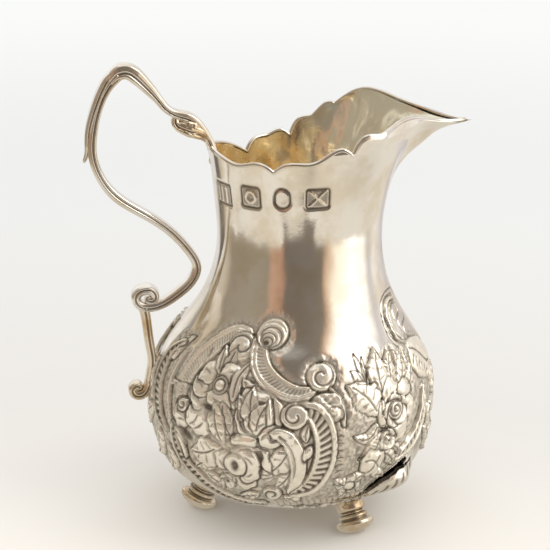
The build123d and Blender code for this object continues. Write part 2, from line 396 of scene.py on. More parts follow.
class Relief:
    """Forms worked into a skin, painted one over another: height, darkening and cover."""

    def __init__(self, skin, angle, place, radius):
        angle, place = angle.ravel(), place.ravel()
        self.angle, self.place, self.radius = angle, place, radius.ravel()
        self.level = skin.dense, skin.radii
        self.height, self.dark = np.zeros(len(angle)), np.zeros(len(angle))
        self.cover, self.field = np.zeros(len(angle)), np.zeros(len(angle))
        self.moat_oxide_and_shade = 0.35 + 0.85 * grain(angle, place, 3.2, 71)  # how dark the moat round each form is painted, more in some places: oxide and painted shade
        self.side = 1

    def spot(self, point):
        """Angle and meridian place of a point given as (angle, height)."""
        return self.side * point[0], outside.place(point[1])

    def around(self, point, reach):
        """Vertices near a point, with their offsets from it in millimetres."""
        angle, place = self.spot(point)
        across = np.radians((self.angle - angle + 180) % 360 - 180) * self.side
        where = np.nonzero((np.abs(self.place - place) < reach)
                           & (np.abs(across) * self.radius < reach))[0]
        return where, across[where] * self.radius[where], self.place[where] - place

    def along(self, points, reach):
        """Vertices near a line, with the run along it and the signed distance from it."""
        spots = np.array([self.spot(p) for p in points])
        middle = float(np.mean(np.interp(spots[:, 1], self.level[0], self.level[1])))
        spots[:, 0] = np.unwrap(spots[:, 0], period=360) * math.radians(1) * middle * self.side
        line, run = line_through(spots, 0.35)
        turned = np.gradient(line, axis=0)
        radii = np.interp(line[:, 1], self.level[0], self.level[1])
        centre = line[:, 0] / middle
        angle = np.radians((self.angle * self.side - np.degrees(centre.mean()) + 180) % 360 - 180)
        angle += centre.mean()
        where = np.nonzero(
            (self.place > line[:, 1].min() - reach) & (self.place < line[:, 1].max() + reach)
            & ((angle - centre.min()) * self.radius > -reach)
            & ((angle - centre.max()) * self.radius < reach))[0]
        best = np.full(len(where), 1e9)
        nearest = np.zeros(len(where), int)
        for k in range(len(line)):
            dx = (angle[where] - centre[k]) * 0.5 * (self.radius[where] + radii[k])
            off = dx * dx + (self.place[where] - line[k, 1]) ** 2
            closer = off < best
            best[closer], nearest[closer] = off[closer], k
        tangent = unit(turned)[nearest]
        dx = (angle[where] - centre[nearest]) * 0.5 * (self.radius[where] + radii[nearest])
        dy = self.place[where] - line[nearest, 1]
        ahead = dx * tangent[:, 0] + dy * tangent[:, 1]
        side = dy * tangent[:, 0] - dx * tangent[:, 1]
        gone = run[nearest] + ahead
        over = np.maximum(np.maximum(-gone, gone - run[-1]), 0)
        keep = best < reach * reach
        return where[keep], gone[keep], side[keep], over[keep], run[-1]

    def lay(self, where, cover, height, dark, edge):
        """Paint a form; edge is the distance outside its outline, for the moat round it, which is
        pressed in and painted dark as oxide and painted shade.
        """
        moat = bump(edge, 0.22, 0.26) * (1 - cover)
        self.height[where] -= 0.26 * moat
        self.dark[where] = np.maximum(self.dark[where], self.moat_oxide_and_shade[where] * moat)
        self.height[where] += cover * (height - self.height[where])
        self.dark[where] += cover * (dark - self.dark[where])
        self.cover[where] = np.maximum(self.cover[where], cover)
        self.field[where] = np.maximum(self.field[where], step_up(1 - edge / 2.2))

    def press(self, where, amount, depth, dark):
        """Press a groove or a dent."""
        self.height[where] -= depth * amount
        self.dark[where] = np.maximum(self.dark[where], dark * amount)


def cover_of(inside_by):
    """How far a form covers a vertex that is so many millimetres inside its outline."""
    return step_up(inside_by / 0.34 + 0.5)


def groove(relief, points, width=0.32, depth=0.22, dark=0.8, fade=0.0):
    """A cut line; fade makes its ends die away over that many millimetres."""
    where, gone, side, over, length = relief.along(points, 2.0)
    amount = bump(np.hypot(side, over), 0, 0.6 * width)
    if fade:
        amount = amount * np.clip(np.minimum(gone, length - gone) / fade, 0, 1)
    relief.press(where, amount, depth, dark)


def ridge(relief, points, width=0.8, rise=0.5):
    """A raised cord, tapered towards its ends."""
    where, gone, side, over, length = relief.along(points, width + 2.4)
    taper = np.clip(0.35 + 2.2 * np.minimum(gone, length - gone) / length, 0, 1)
    half = 0.5 * width * taper
    away = np.hypot(side, over)
    bulge = np.sqrt(np.clip(1 - (away / np.maximum(half, 0.05)) ** 2, 0, 1))
    relief.lay(where, cover_of(half - away), rise * (0.4 + 0.6 * bulge), 0.0, away - half)


def scroll_band(relief, points, widths, rise=0.8, outer=1, rim=0.0, rib=0.8, bold=0.5,
                shade=0.3, reach=(0.0, 0.6), double=False):
    """A C-scroll: a sunk ribbed channel between thin ridges, or with one broad smooth rim.

    The ribs run from the outer side across the part of the width that reach says.
    """
    where, gone, side, over, length = relief.along(points, max(widths) / 2 + 2.6)
    half = 0.5 * profile_at(gone / length, widths)
    side = side * outer
    away = np.abs(side) + over
    depth_in = half - side
    edges = bump(depth_in, 0.2, 0.17) + bump(half + side, 0.2, 0.17)
    if double:
        edges = edges + 0.9 * bump(depth_in, 1.0, 0.17)
    broad = step_up((rim - depth_in) / 0.2 + 0.5) if rim else 0.0
    high = np.clip(np.maximum(edges, broad), 0, 1)
    start = rim if rim else (1.15 if double else 0.35)
    span = (depth_in - start) / np.maximum(2 * half - start, 0.2)
    live = step_up((span - reach[0]) / 0.08 + 0.5) * step_up((reach[1] - span) / 0.12 + 0.5)
    beat = np.abs((gone + 0.45 * side) / rib % 1 - 0.5) * rib
    cut = bump(beat, 0, 0.22 * bold * rib + 0.05) * live * (1 - high)
    height = rise * (0.42 + 0.58 * high) - 0.22 * bold * cut
    line = bump(depth_in, start, 0.16) * (1 - edges) if rim else 0.0
    dark = np.clip(shade * (1 - high) + bold * cut + 0.6 * line, 0, 1)
    relief.lay(where, cover_of(half - away), height, dark, away - half)


HOOD_RINGS = [(-0.03, -0.26, 0.74), (-0.19, -0.42, 0.52), (-0.26, -0.55, 0.37)]  # x, y, size


def hood(relief, centre, radius):
    """The hooked head of a scroll: nested crescents that meet at one point, round a dark eye."""
    where, x, y = relief.around(centre, radius + 2.6)
    x, y = x / radius, y / radius
    far = np.hypot(x, y)
    relief.lay(where, cover_of((1 - far) * radius), 0.6, 0.1, (far - 1) * radius)
    for ring_x, ring_y, size in HOOD_RINGS:
        inner = (size - np.hypot(x - ring_x, y - ring_y)) * radius
        relief.height[where] += 0.30 * bump(inner, -0.30, 0.20) - 0.20 * cover_of(inner)
        relief.press(where, bump(inner, 0.12, 0.17), 0.10, 0.75)
    eye = np.exp(-(np.hypot(x + 0.36, y + 0.62) / 0.20) ** 4)
    relief.press(where, eye, 0.4, 0.95)


def form(relief, outline, rise=0.8, dark=0.0, roll=1.2, dish=0.0):
    """A raised shape with a smooth closed outline, rolled at its edge and dished if wanted."""
    where, _, side, _, _ = relief.along(outline + outline[:1], 6.0)
    angles, heights = np.array(outline).T
    area = np.sum(angles * np.roll(heights, -1) - np.roll(angles, -1) * heights)
    tremble = 0.7 * (grain(relief.angle[where], relief.place[where], 1.5, 51) - 0.5)
    inner = side * np.sign(area) + tremble
    height = rise * (0.40 + 0.60 * step_up(inner / roll)) - dish * step_up((inner - 0.5) / 1.4)
    relief.lay(where, cover_of(inner), height, dark, -inner)


def patch(relief, centre, width, height):
    """Matted ground inside an oval."""
    where, x, y = relief.around(centre, max(width, height) / 2 + 1)
    far = np.hypot(2 * x / width, 2 * y / height)
    relief.field[where] = np.maximum(relief.field[where], step_up((1.08 - far) / 0.2))


def volute(relief, centre, radius, hand=1, start=0.0, turns=1.4, rise=0.95):
    """The rolled end of a scroll: a domed disc with a spiral cut into it."""
    where, x, y = relief.around(centre, radius + 2.4)
    far = np.hypot(x, y)
    dome = rise * (0.8 + 0.2 * (1 - far / radius))
    relief.lay(where, cover_of(radius - far), dome, 0.05, far - radius)
    turn = (hand * np.degrees(np.arctan2(y, x)) - start) % 360 / 360
    pitch = radius / (turns + 0.15)
    for lap in range(int(turns) + 1):
        track = pitch * (turns - turn - lap) + 0.12 * radius
        relief.press(where, bump(far, track, 0.27) * (track > 0.16 * radius), 0.55, 0.8)
    relief.press(where, bump(radius, far, 0.3) * (far < radius), 0.22, 0.0)


LEAF_RADIUS = 27  # the belly's radius where leaves are, to turn degrees into millimetres


def leaf_shape(relief, base, tip, width, bend, teeth, serration, rise, fullness, dark):
    """The raised shape of a leaf and its midrib; what its veins need is given back."""
    (a0, z0), (a1, z1) = base, tip
    size = math.hypot(math.radians(a1 - a0) * LEAF_RADIUS, z1 - z0)
    swing = bend * size / LEAF_RADIUS
    shortest = max(size, 0.1)
    middle = ((a0 + a1) / 2 - math.degrees(swing) * (z1 - z0) / shortest,
              (z0 + z1) / 2 + bend * size * math.radians(a1 - a0) * LEAF_RADIUS / shortest)
    where, gone, side, over, length = relief.along([base, middle, tip], width / 2 + 2.6)
    share = np.clip(gone / length, 0, 1)
    tooth = 1 - serration * ((teeth * share) % 1)
    arch = np.sin(np.pi * np.clip(share, 0.02, 1) ** fullness)
    half = 0.5 * width * np.maximum(arch, 0) ** (0.55 + 0.65 * share) * tooth + 0.08
    half = half * (0.86 + 0.28 * grain(relief.angle[where], relief.place[where], 1.1, 52))
    away = np.abs(side) + over
    across = np.clip(away / np.maximum(half, 0.1), 0, 1)
    height = rise * (0.45 + 0.55 * (1 - across ** 2)) * (0.75 + 0.25 * share)
    relief.lay(where, cover_of(half - away), height, dark, away - half)
    within = cover_of(half - away - 0.15)
    rib = bump(side, 0, 0.17) * (share > 0.04) * (share < 0.9)
    relief.press(where, rib * within, 0.30, 0.85)
    return where, share, across, within, length


def blade(relief, base, tip, width, bend=0.0, rise=0.85, dark=0.0):
    """A plain narrow leaf."""
    leaf_shape(relief, base, tip, width, bend, 1, 0, rise, 0.75, dark)


def leaf(relief, base, tip, width, bend=0.0, teeth=5, serration=0.16, rise=0.85, fullness=0.75,
         dark=0.0):
    """A chased leaf from base to tip with a toothed edge, a midrib and side veins."""
    where, share, across, within, length = leaf_shape(
        relief, base, tip, width, bend, teeth, serration, rise, fullness, dark)
    slant = (teeth * share - 0.55 * across) % 1
    vein = bump((slant - 0.5) * length / teeth, 0, 0.17) * (across > 0.18) * (across < 0.78)
    relief.press(where, vein * within, 0.18, 0.6)


def petal(relief, centre, direction, length, width, rise=0.9, cup=0.25):
    """One petal lying outwards from a flower's centre, with a dished middle."""
    where, x, y = relief.around(centre, length + 2.4)
    ahead, across = swung(x, y, direction)
    share = np.clip(ahead / length, 0, 1)
    arch = np.sin(np.pi * (0.12 + 0.88 * share) ** 1.15)
    half = 0.5 * width * np.sqrt(np.clip(arch, 0, 1)) + 0.02
    inner = np.minimum(half - np.abs(across), np.minimum(ahead + 0.3, length - ahead))
    across = np.abs(across) / np.maximum(half, 0.1)
    height = rise * (0.55 + 0.45 * share) * (1 - cup * (1 - across) * np.sin(np.pi * share))
    relief.lay(where, cover_of(inner), height, 0.0, -inner)
    line = bump(across, 0, 0.16) * (share > 0.25) * (share < 0.8) * cover_of(inner)
    relief.press(where, line, 0.10, 0.35)


def flower(relief, centre, radius, petals=5, turn=0.0, eye=1.0, rise=1.0):
    """Overlapping petals round a raised ring with a dark eye."""
    width = 2.3 * radius * math.sin(math.pi / petals)
    for k in range(petals):
        length = radius * (1 if k % 2 else 0.93)
        petal(relief, centre, turn + 360 * k / petals, length, width, rise)
    where, x, y = relief.around(centre, eye + 2.4)
    far = np.hypot(x, y)
    ring = rise + 0.25 * bump(far, 0.8 * eye, 0.3 * eye)
    relief.lay(where, cover_of(1.15 * eye - far), ring, 0.0, far - 1.15 * eye)
    relief.press(where, np.exp(-(far / (0.62 * eye)) ** 4), 0.75, 0.95)


def boss(relief, centre, radius, rise=0.7, squash=1.0, turn=0.0, dark=0.0):
    """A plain raised dot or oval."""
    where, x, y = relief.around(centre, radius * max(squash, 1) + 2.4)
    ahead, across = swung(x, y, turn)
    far = np.hypot(ahead / squash, across)
    dome = np.sqrt(np.clip(1 - (far / radius) ** 2, 0, 1))
    relief.lay(where, cover_of(radius - far), rise * (0.3 + 0.7 * dome), dark, far - radius)


def hollow(relief, centre, width, height, turn=0.0, depth=0.5, dark=0.9):
    """A dark pocket between forms."""
    where, x, y = relief.around(centre, max(width, height))
    x, y = swung(x, y, turn)
    amount = np.exp(-((2 * x / width) ** 2 + (2 * y / height) ** 2) ** 1.5)
    relief.press(where, amount, depth, dark)


def rocky(relief, centre, width, height, seed=3):
    """A rough cluster of little knobs."""
    where, x, y = relief.around(centre, max(width, height) / 2 + 2.4)
    far = np.hypot(2 * x / width, 2 * y / height)
    inner = (1 - far) * min(width, height) / 2
    knobs = grain(relief.angle[where], relief.place[where], 0.8, seed)
    crust = 0.9 * (0.5 + 0.7 * (knobs - 0.4))
    relief.lay(where, cover_of(inner), crust, np.clip(1.5 * (0.5 - knobs), 0, 0.8), -inner)


def each(tool, places, *details):
    """A row for each place, with the same tool and details."""
    return [(tool, place, *details) for place in places]


def row_of_cuts(start, step, line, count, *details):
    """Rows that cut the same short line again and again, a step further each time."""
    starts = [(start[0] + step[0] * k, start[1] + step[1] * k) for k in range(count)]
    return [(groove, [(x + dx, z + dz) for dx, dz in line], *details) for x, z in starts]


def bowed(root, tip, way):
    """A line from root to tip, bowed out to one side."""
    middle = ((tip[0] + root[0]) / 2 + way * (tip[1] - root[1]) / 4,
              (tip[1] + root[1]) / 2 - way * (tip[0] - root[0]) / 6)
    return [root, middle, tip]


# ---------------------------------------------------------------- what is chased on each side
# Rows are a tool and what it is given, in order. A point is an angle from the spout and a height.
# A scroll_band has its line and widths, then its rise, outer side, rim, rib, bold, shade and reach.
# Patches of matted ground between the forms.
GROUND = [
    (patch, (-131, 33), 17, 14), (patch, (-120, 24), 34, 17), (patch, (-98, 24), 14, 16),
    (patch, (-155, 24), 20, 24), (patch, (-104, 15), 34, 12), (patch, (-62, 22), 15, 20),
    (patch, (-50, 26), 24, 20), (patch, (-28, 28), 26, 26), (patch, (-12, 24), 22, 24),
    (patch, (-75, 14), 22, 9), (patch, (-168, 22), 22, 26),
]
# The tall looped scroll by the spout, cut in lines, and the leaf under it.
SPOUT_SCROLL = [
    *each(groove, [
        [(-19.5, 56.2), (-14.5, 51.6), (-9.5, 48.4), (-12, 45.8)],
        [(-12, 46.4), (-24, 46.9), (-32, 46.6), (-39, 45.3), (-42.2, 42.8), (-43, 40.2), (-41, 38.4),
         (-37, 37.2)],
        [(-14, 45.5), (-25, 46.0), (-32, 45.7), (-37.5, 44.3), (-40, 42.2), (-40.5, 39.8),
         (-36.0, 37.9)],
        [(-12, 46.2), (-7.4, 43.8), (-9.5, 41.8), (-18, 40.4), (-25, 40.0), (-26, 38.6), (-20, 37.6)],
        [(-15, 43.6), (-24, 44.8), (-31.5, 44.1), (-35.5, 42.3), (-35.8, 40), (-31, 38.2)],
        [(-31, 41.6), (-28, 43.7), (-20.5, 43.9), (-19.5, 42.6), (-26, 41.8), (-29, 40.4),
         (-27.5, 39.2)],
    ], 0.34, 0.4, 0.85, 0.8),
    (ridge, [(-16, 44.6), (-25, 45.4), (-32, 44.9), (-36.5, 43.3), (-38, 41.2), (-37.5, 39.2),
     (-33, 38.0)], 0.7, 0.3),
    (leaf, (-42, 33.5), (-45.5, 38.2), 2.2, 0.1), (leaf, (-38.5, 33.5), (-38.5, 37.2), 2.4, 0.1),
    (form, [(-31.5, 37.6), (-21, 37.4), (-11, 35.2), (-6, 32.2), (-14.5, 30.8), (-22.5, 30.0),
     (-33, 31.8), (-36, 34.4)], 0.6),
    (groove, [(-32.5, 36.6), (-27, 35.4), (-22, 33.4), (-18, 31.6)], 0.34, 0.4, 0.9),
    *row_of_cuts((-32, 35.2), (2.0, -0.75), [(0, 0), (-1.4, -0.5), (-2.2, -1.2)], 6, 0.34, 0.35, 0.9),
    (boss, (-18, 30), 1.3, 0.7, 1.5, 80), (leaf, (-15, 25), (-9, 31), 2.4, 0.2),
]
# A flower and a fan of leaves under the beak, which both sides share.
FRONT_FLOWER = [
    *[(leaf, (2.2 * sweep, 19.5), (7.5 * sweep, 8.5 + 1.9 * abs(sweep)),
     3.4, -0.1 * sweep) for sweep in (-2, -1, 1, 2, 0)],
    (flower, (0, 23.5), 4.4, 6, 0, 1.2, 0.9),
]
# The dashed band under the rose and what hangs from it.
DASHED_BAND = [
    (leaf, (-22, 24), (-12, 25), 2.6, -0.2),
    (scroll_band, [(-31, 29), (-32.5, 25), (-37, 21), (-44, 18.4), (-52, 17)],
     [1.4, 2.8, 3.2, 3.0, 1.6], 0.75, -1, 0.7, 1.35, 0.9, 0.05),
    (leaf, (-29, 20), (-22, 14), 3.0, 0.2), (leaf, (-25, 24), (-16, 19), 3.0, -0.2),
    (leaf, (-20, 15), (-10, 18), 2.8, 0.2), (boss, (-13, 22), 1.4, 0.7, 1.3),
]
# Leaves and the line-cut sprig beside the smooth panel.
PANEL_LEAVES = [
    (leaf, (-52.5, 31.5), (-49.5, 38), 3.4, 0.1, 4), (leaf, (-50, 31), (-43, 36.8), 3.4, -0.1, 5),
    (leaf, (-46, 30), (-38, 34.5), 3.4, -0.1, 4),
    (leaf, (-59.0, 31.0), (-57.2, 39), 4.6, 0.06, 5, 0.22, 0.85, 0.9),
    (leaf, (-62.5, 28.0), (-75, 33.8), 6.2, -0.10, 5, 0.2, 0.95, 0.85),
    *[(groove, bowed((-65.4, 33.5), tip, way), 0.27, 0.16, 0.9) for tip in ((-72.4, 36.2),
     (-69.2, 38.9), (-65.2, 38.2)) for way in (-0.9, 0.9)],
    (leaf, (-62.5, 25.4), (-72.5, 24.0), 2.2, 0.3, 5, 0.05),
    (leaf, (-61.0, 23.0), (-69.8, 19.0), 3.8, 0.15, 8, 0.1),
    (leaf, (-56.5, 21.0), (-50.0, 18.2), 2.8, 0.1, 4),
    (leaf, (-58.5, 19.4), (-52.0, 15.6), 2.8, 0.1, 4),
    (form, [(-68.6, 18.8), (-64.5, 20.6), (-59.8, 19.8), (-58.6, 17.2), (-61.8, 15.0), (-67.0, 15.2)],
     0.95),
    (groove, [(-67.5, 18.6), (-64.5, 18.6), (-61.5, 17.0)], 0.3, 0.3, 0.8),
    (groove, [(-66.0, 16.2), (-63.5, 17.4), (-61.0, 19.2)], 0.3, 0.3, 0.8),
    (leaf, (-62, 14.8), (-55.5, 13.6), 2.2, 0.1, 3),
]
# The rose: five loose outer petals, then a ring of small ones round a spiral; and a flower by it.
ROSE = [
    (form, [(-60.4, 29.8), (-57, 30.4), (-55.2, 27.6), (-56.2, 24.8), (-60, 25.0), (-61.8, 27.4)], 0.7),
    (form, [(-58.2, 30.0), (-57.2, 32.9), (-52.2, 33.2), (-49.0, 31.2), (-52.3, 29.6)], 0.75),
    (form, [(-50.6, 31.2), (-46.2, 32.6), (-42.0, 30.8), (-44.5, 28.2), (-49.2, 28.6)], 0.75),
    (form, [(-48.0, 28.9), (-42.8, 29.4), (-40.6, 26.4), (-43.2, 23.8), (-47.8, 25.0)], 0.75),
    (form, [(-57.4, 25.2), (-52, 25.8), (-46.0, 24.6), (-46.4, 22.0), (-52, 21.2), (-57.2, 22.8)],
     0.75),
    *[(petal, (-52.8, 27.4), 72 * k + 30, 3.3, 3.6, 1.0, 0.3) for k in range(5)],
    (volute, (-53.0, 27.6), 1.75, 1, 40, 1.8, 1.15), (flower, (-57.2, 22.0), 2.2, 5, 10, 0.6, 1.0),
]
# The stippled side of the smooth panel, and the leaves below it.
PANEL_EDGE = [
    *[(groove, [(-79.8, 25 - 1.1 * k), (-78.8, 25.1 - 1.1 * k), (-77.8, 24.9 - 1.1 * k)],
     0.24, 0.12, 0.7) for k in range(9)],
    (groove, [(-71.8, 23.0), (-71.2, 19.4), (-72.0, 16.0)], 0.45, 0.16, 0.6, 1.5),
    *[(leaf, (-73, 13.5), tip, 2.9, 0.1, 3) for tip in ((-79.2, 15.2), (-76.5, 11.2), (-67.4, 15.8),
     (-68.6, 11.6))],
    (boss, (-73, 13.5), 0.9),
]
# The handle-side scroll, and the band that rises under it.
HANDLE_SCROLL = [
    (leaf, (-163, 35), (-156, 39.6), 2.4, 0.2, 4), (leaf, (-168, 33), (-167, 39), 2.4, -0.1, 4),
    (scroll_band, [(-160, 38.2), (-165.5, 36.5), (-167, 32), (-165, 27.5), (-161.5, 24), (-156, 21.5)],
     [1.0, 2.2, 2.8, 2.8, 2.4, 1.0], 0.8, -1, 0.6, 1.25, 0.9, 0.1),
    (ridge, [(-155, 37), (-156.5, 32), (-154.5, 27), (-152.5, 24)], 0.7, 0.6),
    (leaf, (-172, 26), (-177, 33), 3.0, 0.2, 5), (leaf, (-170, 24), (-177, 19), 3.0, -0.2, 5),
    (leaf, (-163, 20), (-172, 14), 3.2, 0.2, 5), (leaf, (-156, 18), (-160, 12), 2.8, 0.2, 4),
    (scroll_band, [(-150.5, 24.5), (-149.5, 20), (-145, 16.5), (-138, 13.6), (-129, 10.6), (-119, 9.6),
     (-110, 9.4)], [1.0, 2.0, 2.4, 2.4, 2.2, 2.0, 1.2], 0.8, -1, 0.6, 1.2, 0.9, 0.1),
]
# The big C-scroll towards the handle, with the leaves that it springs from.
UPPER_SCROLL = [
    *[(ridge, [(-150.2 + 0.9 * k, 24.4 - 1.2 * k), (-146.6 + 0.6 * k, 22.8 - 1.3 * k),
     (-143.6, 20.2 - 1.3 * k)], 0.9, 0.6) for k in range(3)],
    (form, [(-149.8, 27.4), (-145.2, 28.8), (-141.2, 27.8), (-140.8, 25.4), (-144.4, 23.8),
     (-149, 24.4)], 0.7),
    (form, [(-142.0, 28.6), (-136, 29.6), (-131.8, 28.2), (-130.8, 25.8), (-133, 23.6), (-138.6, 23.4),
     (-141.8, 25.2)], 0.8),
    *each(groove, [
        [(-140.8, 25.0), (-137.8, 25.9), (-135.4, 27.9)],
        [(-138.0, 24.4), (-135.6, 25.1), (-132.8, 26.4)],
        [(-148.6, 26.6), (-145.8, 26.8), (-142.6, 26.6)],
        [(-147.2, 25.2), (-144.6, 25.6), (-142.2, 25.2)],
    ], 0.3, 0.2, 0.75, 0.6),
    (scroll_band, [(-123.5, 42.6), (-129, 42.6), (-135, 41.4), (-141, 39), (-146, 35.8), (-148, 32.2),
     (-147.2, 28.6)], [1.8, 3.0, 3.5, 3.5, 3.3, 3.0, 2.0], 0.8, -1, 0.0, 0.62, 0.5, 0.05, (0, 0.75),
     True),
    (volute, (-124.8, 40.2), 2.75, -1, 150, 1.2), (volute, (-145.4, 28.4), 1.35, 1, 60, 1.2),
]
# The small upper flower in that scroll's hollow, and the plain leaves round it.
SMALL_FLOWER = [
    (form, [(-143.0, 31.8), (-139, 31.6), (-134.2, 29.8), (-136, 28.7), (-141.2, 29.4)], 0.4),
    (form, [(-141.8, 34.0), (-138, 33.6), (-134.8, 31.6), (-137.4, 30.6), (-141.8, 31.8)], 0.45),
    (form, [(-140.0, 36.4), (-135.6, 37.0), (-132.8, 35.0), (-136.4, 33.4), (-140.4, 34.2)], 0.45),
    (blade, (-131.8, 35.8), (-133.4, 40.0), 2.0, 0, 0.55),
    (blade, (-128.6, 36.4), (-127.0, 39.6), 2.0, 0, 0.5, 0.2),
    (form, [(-130.6, 35.4), (-127.6, 37.3), (-123.4, 37.2), (-120.8, 35.6), (-124, 33.6),
     (-128, 33.4)], 0.5),
    (form, [(-126.6, 33.4), (-122, 34.6), (-119.4, 32.2), (-120.6, 29.8), (-125.2, 30.8)], 0.5, 0.15),
    (form, [(-133.6, 31.8), (-129, 32.9), (-123.6, 31.4), (-122.8, 29.6), (-128, 29.2), (-133, 29.9)],
     0.5),
    *each(groove, [
        [(-141.6, 33.0), (-139.0, 33.0), (-136.4, 32.2)],
        [(-139.4, 35.6), (-137.0, 35.4), (-134.6, 34.8)],
        [(-126.6, 35.6), (-124.6, 35.9), (-122.6, 35.4)],
        [(-131.0, 31.2), (-128.0, 30.7), (-125.4, 30.6)],
        [(-141.4, 30.6), (-138.6, 30.4), (-136.2, 29.6)],
        [(-124.6, 32.4), (-122.6, 32.0), (-121.2, 31.0)],
    ], 0.3, 0.2, 0.7, 0.6),
    (boss, (-129, 33.5), 1.6, 0.6, 1.0, 0.0, 0.35), (boss, (-129, 33.5), 0.9, 0.85),
    (blade, (-121.8, 31.5), (-116.4, 38.4), 1.9, 0.15, 0.5),
    (blade, (-118.5, 34.8), (-111.0, 34.6), 1.9, -0.25, 0.5),
]
# The middle scroll, its big volute and its end volute.
MIDDLE_SCROLL = [
    (scroll_band, [(-116.2, 42.8), (-115.0, 39.4), (-111.8, 36.9), (-106.5, 35.0), (-100.8, 33.7),
     (-95.6, 33.1), (-90.0, 33.4)], [2.2, 3.0, 3.6, 3.8, 3.6, 3.2, 2.2],
     0.8, -1, 0.0, 0.72, 0.5, 0.2, (0, 0.6), True),
    (hood, (-110.4, 42.8), 2.9), (volute, (-85.6, 35.9), 2.75, -1, 250, 1.3, 1.05),
    (ridge, [(-82.0, 33.8), (-79.0, 31.6), (-77.4, 28.8), (-76.8, 26.6)], 1.2, 0.75),
    (rocky, (-84.3, 31.4), 5.6, 3.6), (rocky, (-80.8, 29.0), 3.0, 2.8, 5),
]
# The cup with three leaves in it, and the leaves that point down beside it.
CUP_LEAF = [
    (form, [(-104.8, 32.4), (-101.4, 31.4), (-100.8, 28.2), (-102.8, 26.6), (-105.0, 29)], 0.55, 0.1),
    (form, [(-119.6, 31), (-117.4, 33.2), (-112.5, 33.3), (-107, 32.2), (-105.4, 29.5), (-106, 25.6),
     (-111, 24.4), (-116.5, 25), (-119.8, 28)], 0.95, 0.0, 1.0, 0.25),
    (hollow, (-109.4, 31.3), 3.0, 1.3, -10, 0.35),
    (leaf, (-113.5, 26.0), (-119.6, 32.4), 3.6, -0.1, 3, 0.15, 1.0),
    (leaf, (-112.0, 26.0), (-113.8, 34.0), 3.6, 0.05, 3, 0.15, 1.05),
    (leaf, (-111.0, 26.0), (-106.4, 31.6), 3.2, 0.1, 3, 0.15, 0.95),
    (groove, [(-117.6, 27.6), (-116.4, 27.9), (-115.0, 28.8)], 0.26, 0.2, 0.7),
    (ridge, [(-106.6, 32.0), (-105.9, 28.6), (-105.6, 25.0)], 1.0, 1.25),
    # This leaf lies under the next one and is painted a little darker as painted shade.
    (leaf, (-125.8, 30.2), (-120.6, 24.2), 2.9, -0.06, 3, 0.06, 0.7, 0.75, 0.2),
    (leaf, (-129.0, 29.6), (-124.0, 22.6), 3.7, -0.06, 4, 0.1, 0.9),
    (hollow, (-132.2, 29.2), 3.4, 1.6, -15, 0.4),
    (form, [(-121.4, 24.3), (-116, 24.9), (-110.4, 24.2), (-111.6, 22.9), (-117, 22.4),
     (-121.6, 22.9)], 0.7),
]
# Smooth crescent with the veined leaf inside, and the big dashed scroll round it.
CRESCENT = [
    (leaf, (-97.4, 18.6), (-104.0, 14.4), 2.9, 0.1, 4, 0.12, 0.7),
    (leaf, (-98.0, 23.0), (-107.2, 17.2), 5.2, 0.08, 4, 0.12, 0.8),
    (form, [(-110.4, 25.2), (-106.4, 26.8), (-101, 26.8), (-99.0, 24.8), (-103.8, 23.0),
     (-109.6, 23.2)], 0.9),
    (scroll_band, [(-104, 25.9), (-100.4, 25.4), (-97.2, 23.6), (-95.2, 21.0), (-94.8, 18.2),
     (-96, 15.4), (-98.4, 13.4)], [1.8, 2.9, 3.1, 3.0, 2.8, 2.2, 1.2], 1.0, 1, 2.1, 0.8, 0.0, 0.1),
    (groove, [(-105.6, 25.4), (-104.6, 24.4), (-103.2, 24.6)], 0.4, 0.35, 0.9),
    (groove, [(-102.0, 25.4), (-101.0, 25.0), (-99.8, 24.6)], 0.4, 0.35, 0.9),
    (groove, [(-108.8, 24.6), (-108.0, 25.4), (-106.8, 25.8)], 0.3, 0.2, 0.6),
    (blade, (-92.0, 24.4), (-90.8, 27.6), 1.5, 0.1, 0.6), (boss, (-91.0, 21.8), 0.85, 0.6, 1.6, 60),
    (scroll_band, [(-95.6, 30.6), (-90.0, 30.0), (-85.6, 27.2), (-84.1, 23.6), (-84.5, 20.2),
     (-86.6, 17.0), (-90.4, 14.4), (-97, 12.8)], [2.2, 3.6, 4.2, 4.3, 4.2, 3.9, 3.2, 1.6],
     1.0, 1, 1.15, 1.35, 0.95, 0.0, (0.0, 0.72)),
    (volute, (-96.6, 29.2), 2.5, 1, 30, 1.1, 1.1),
]
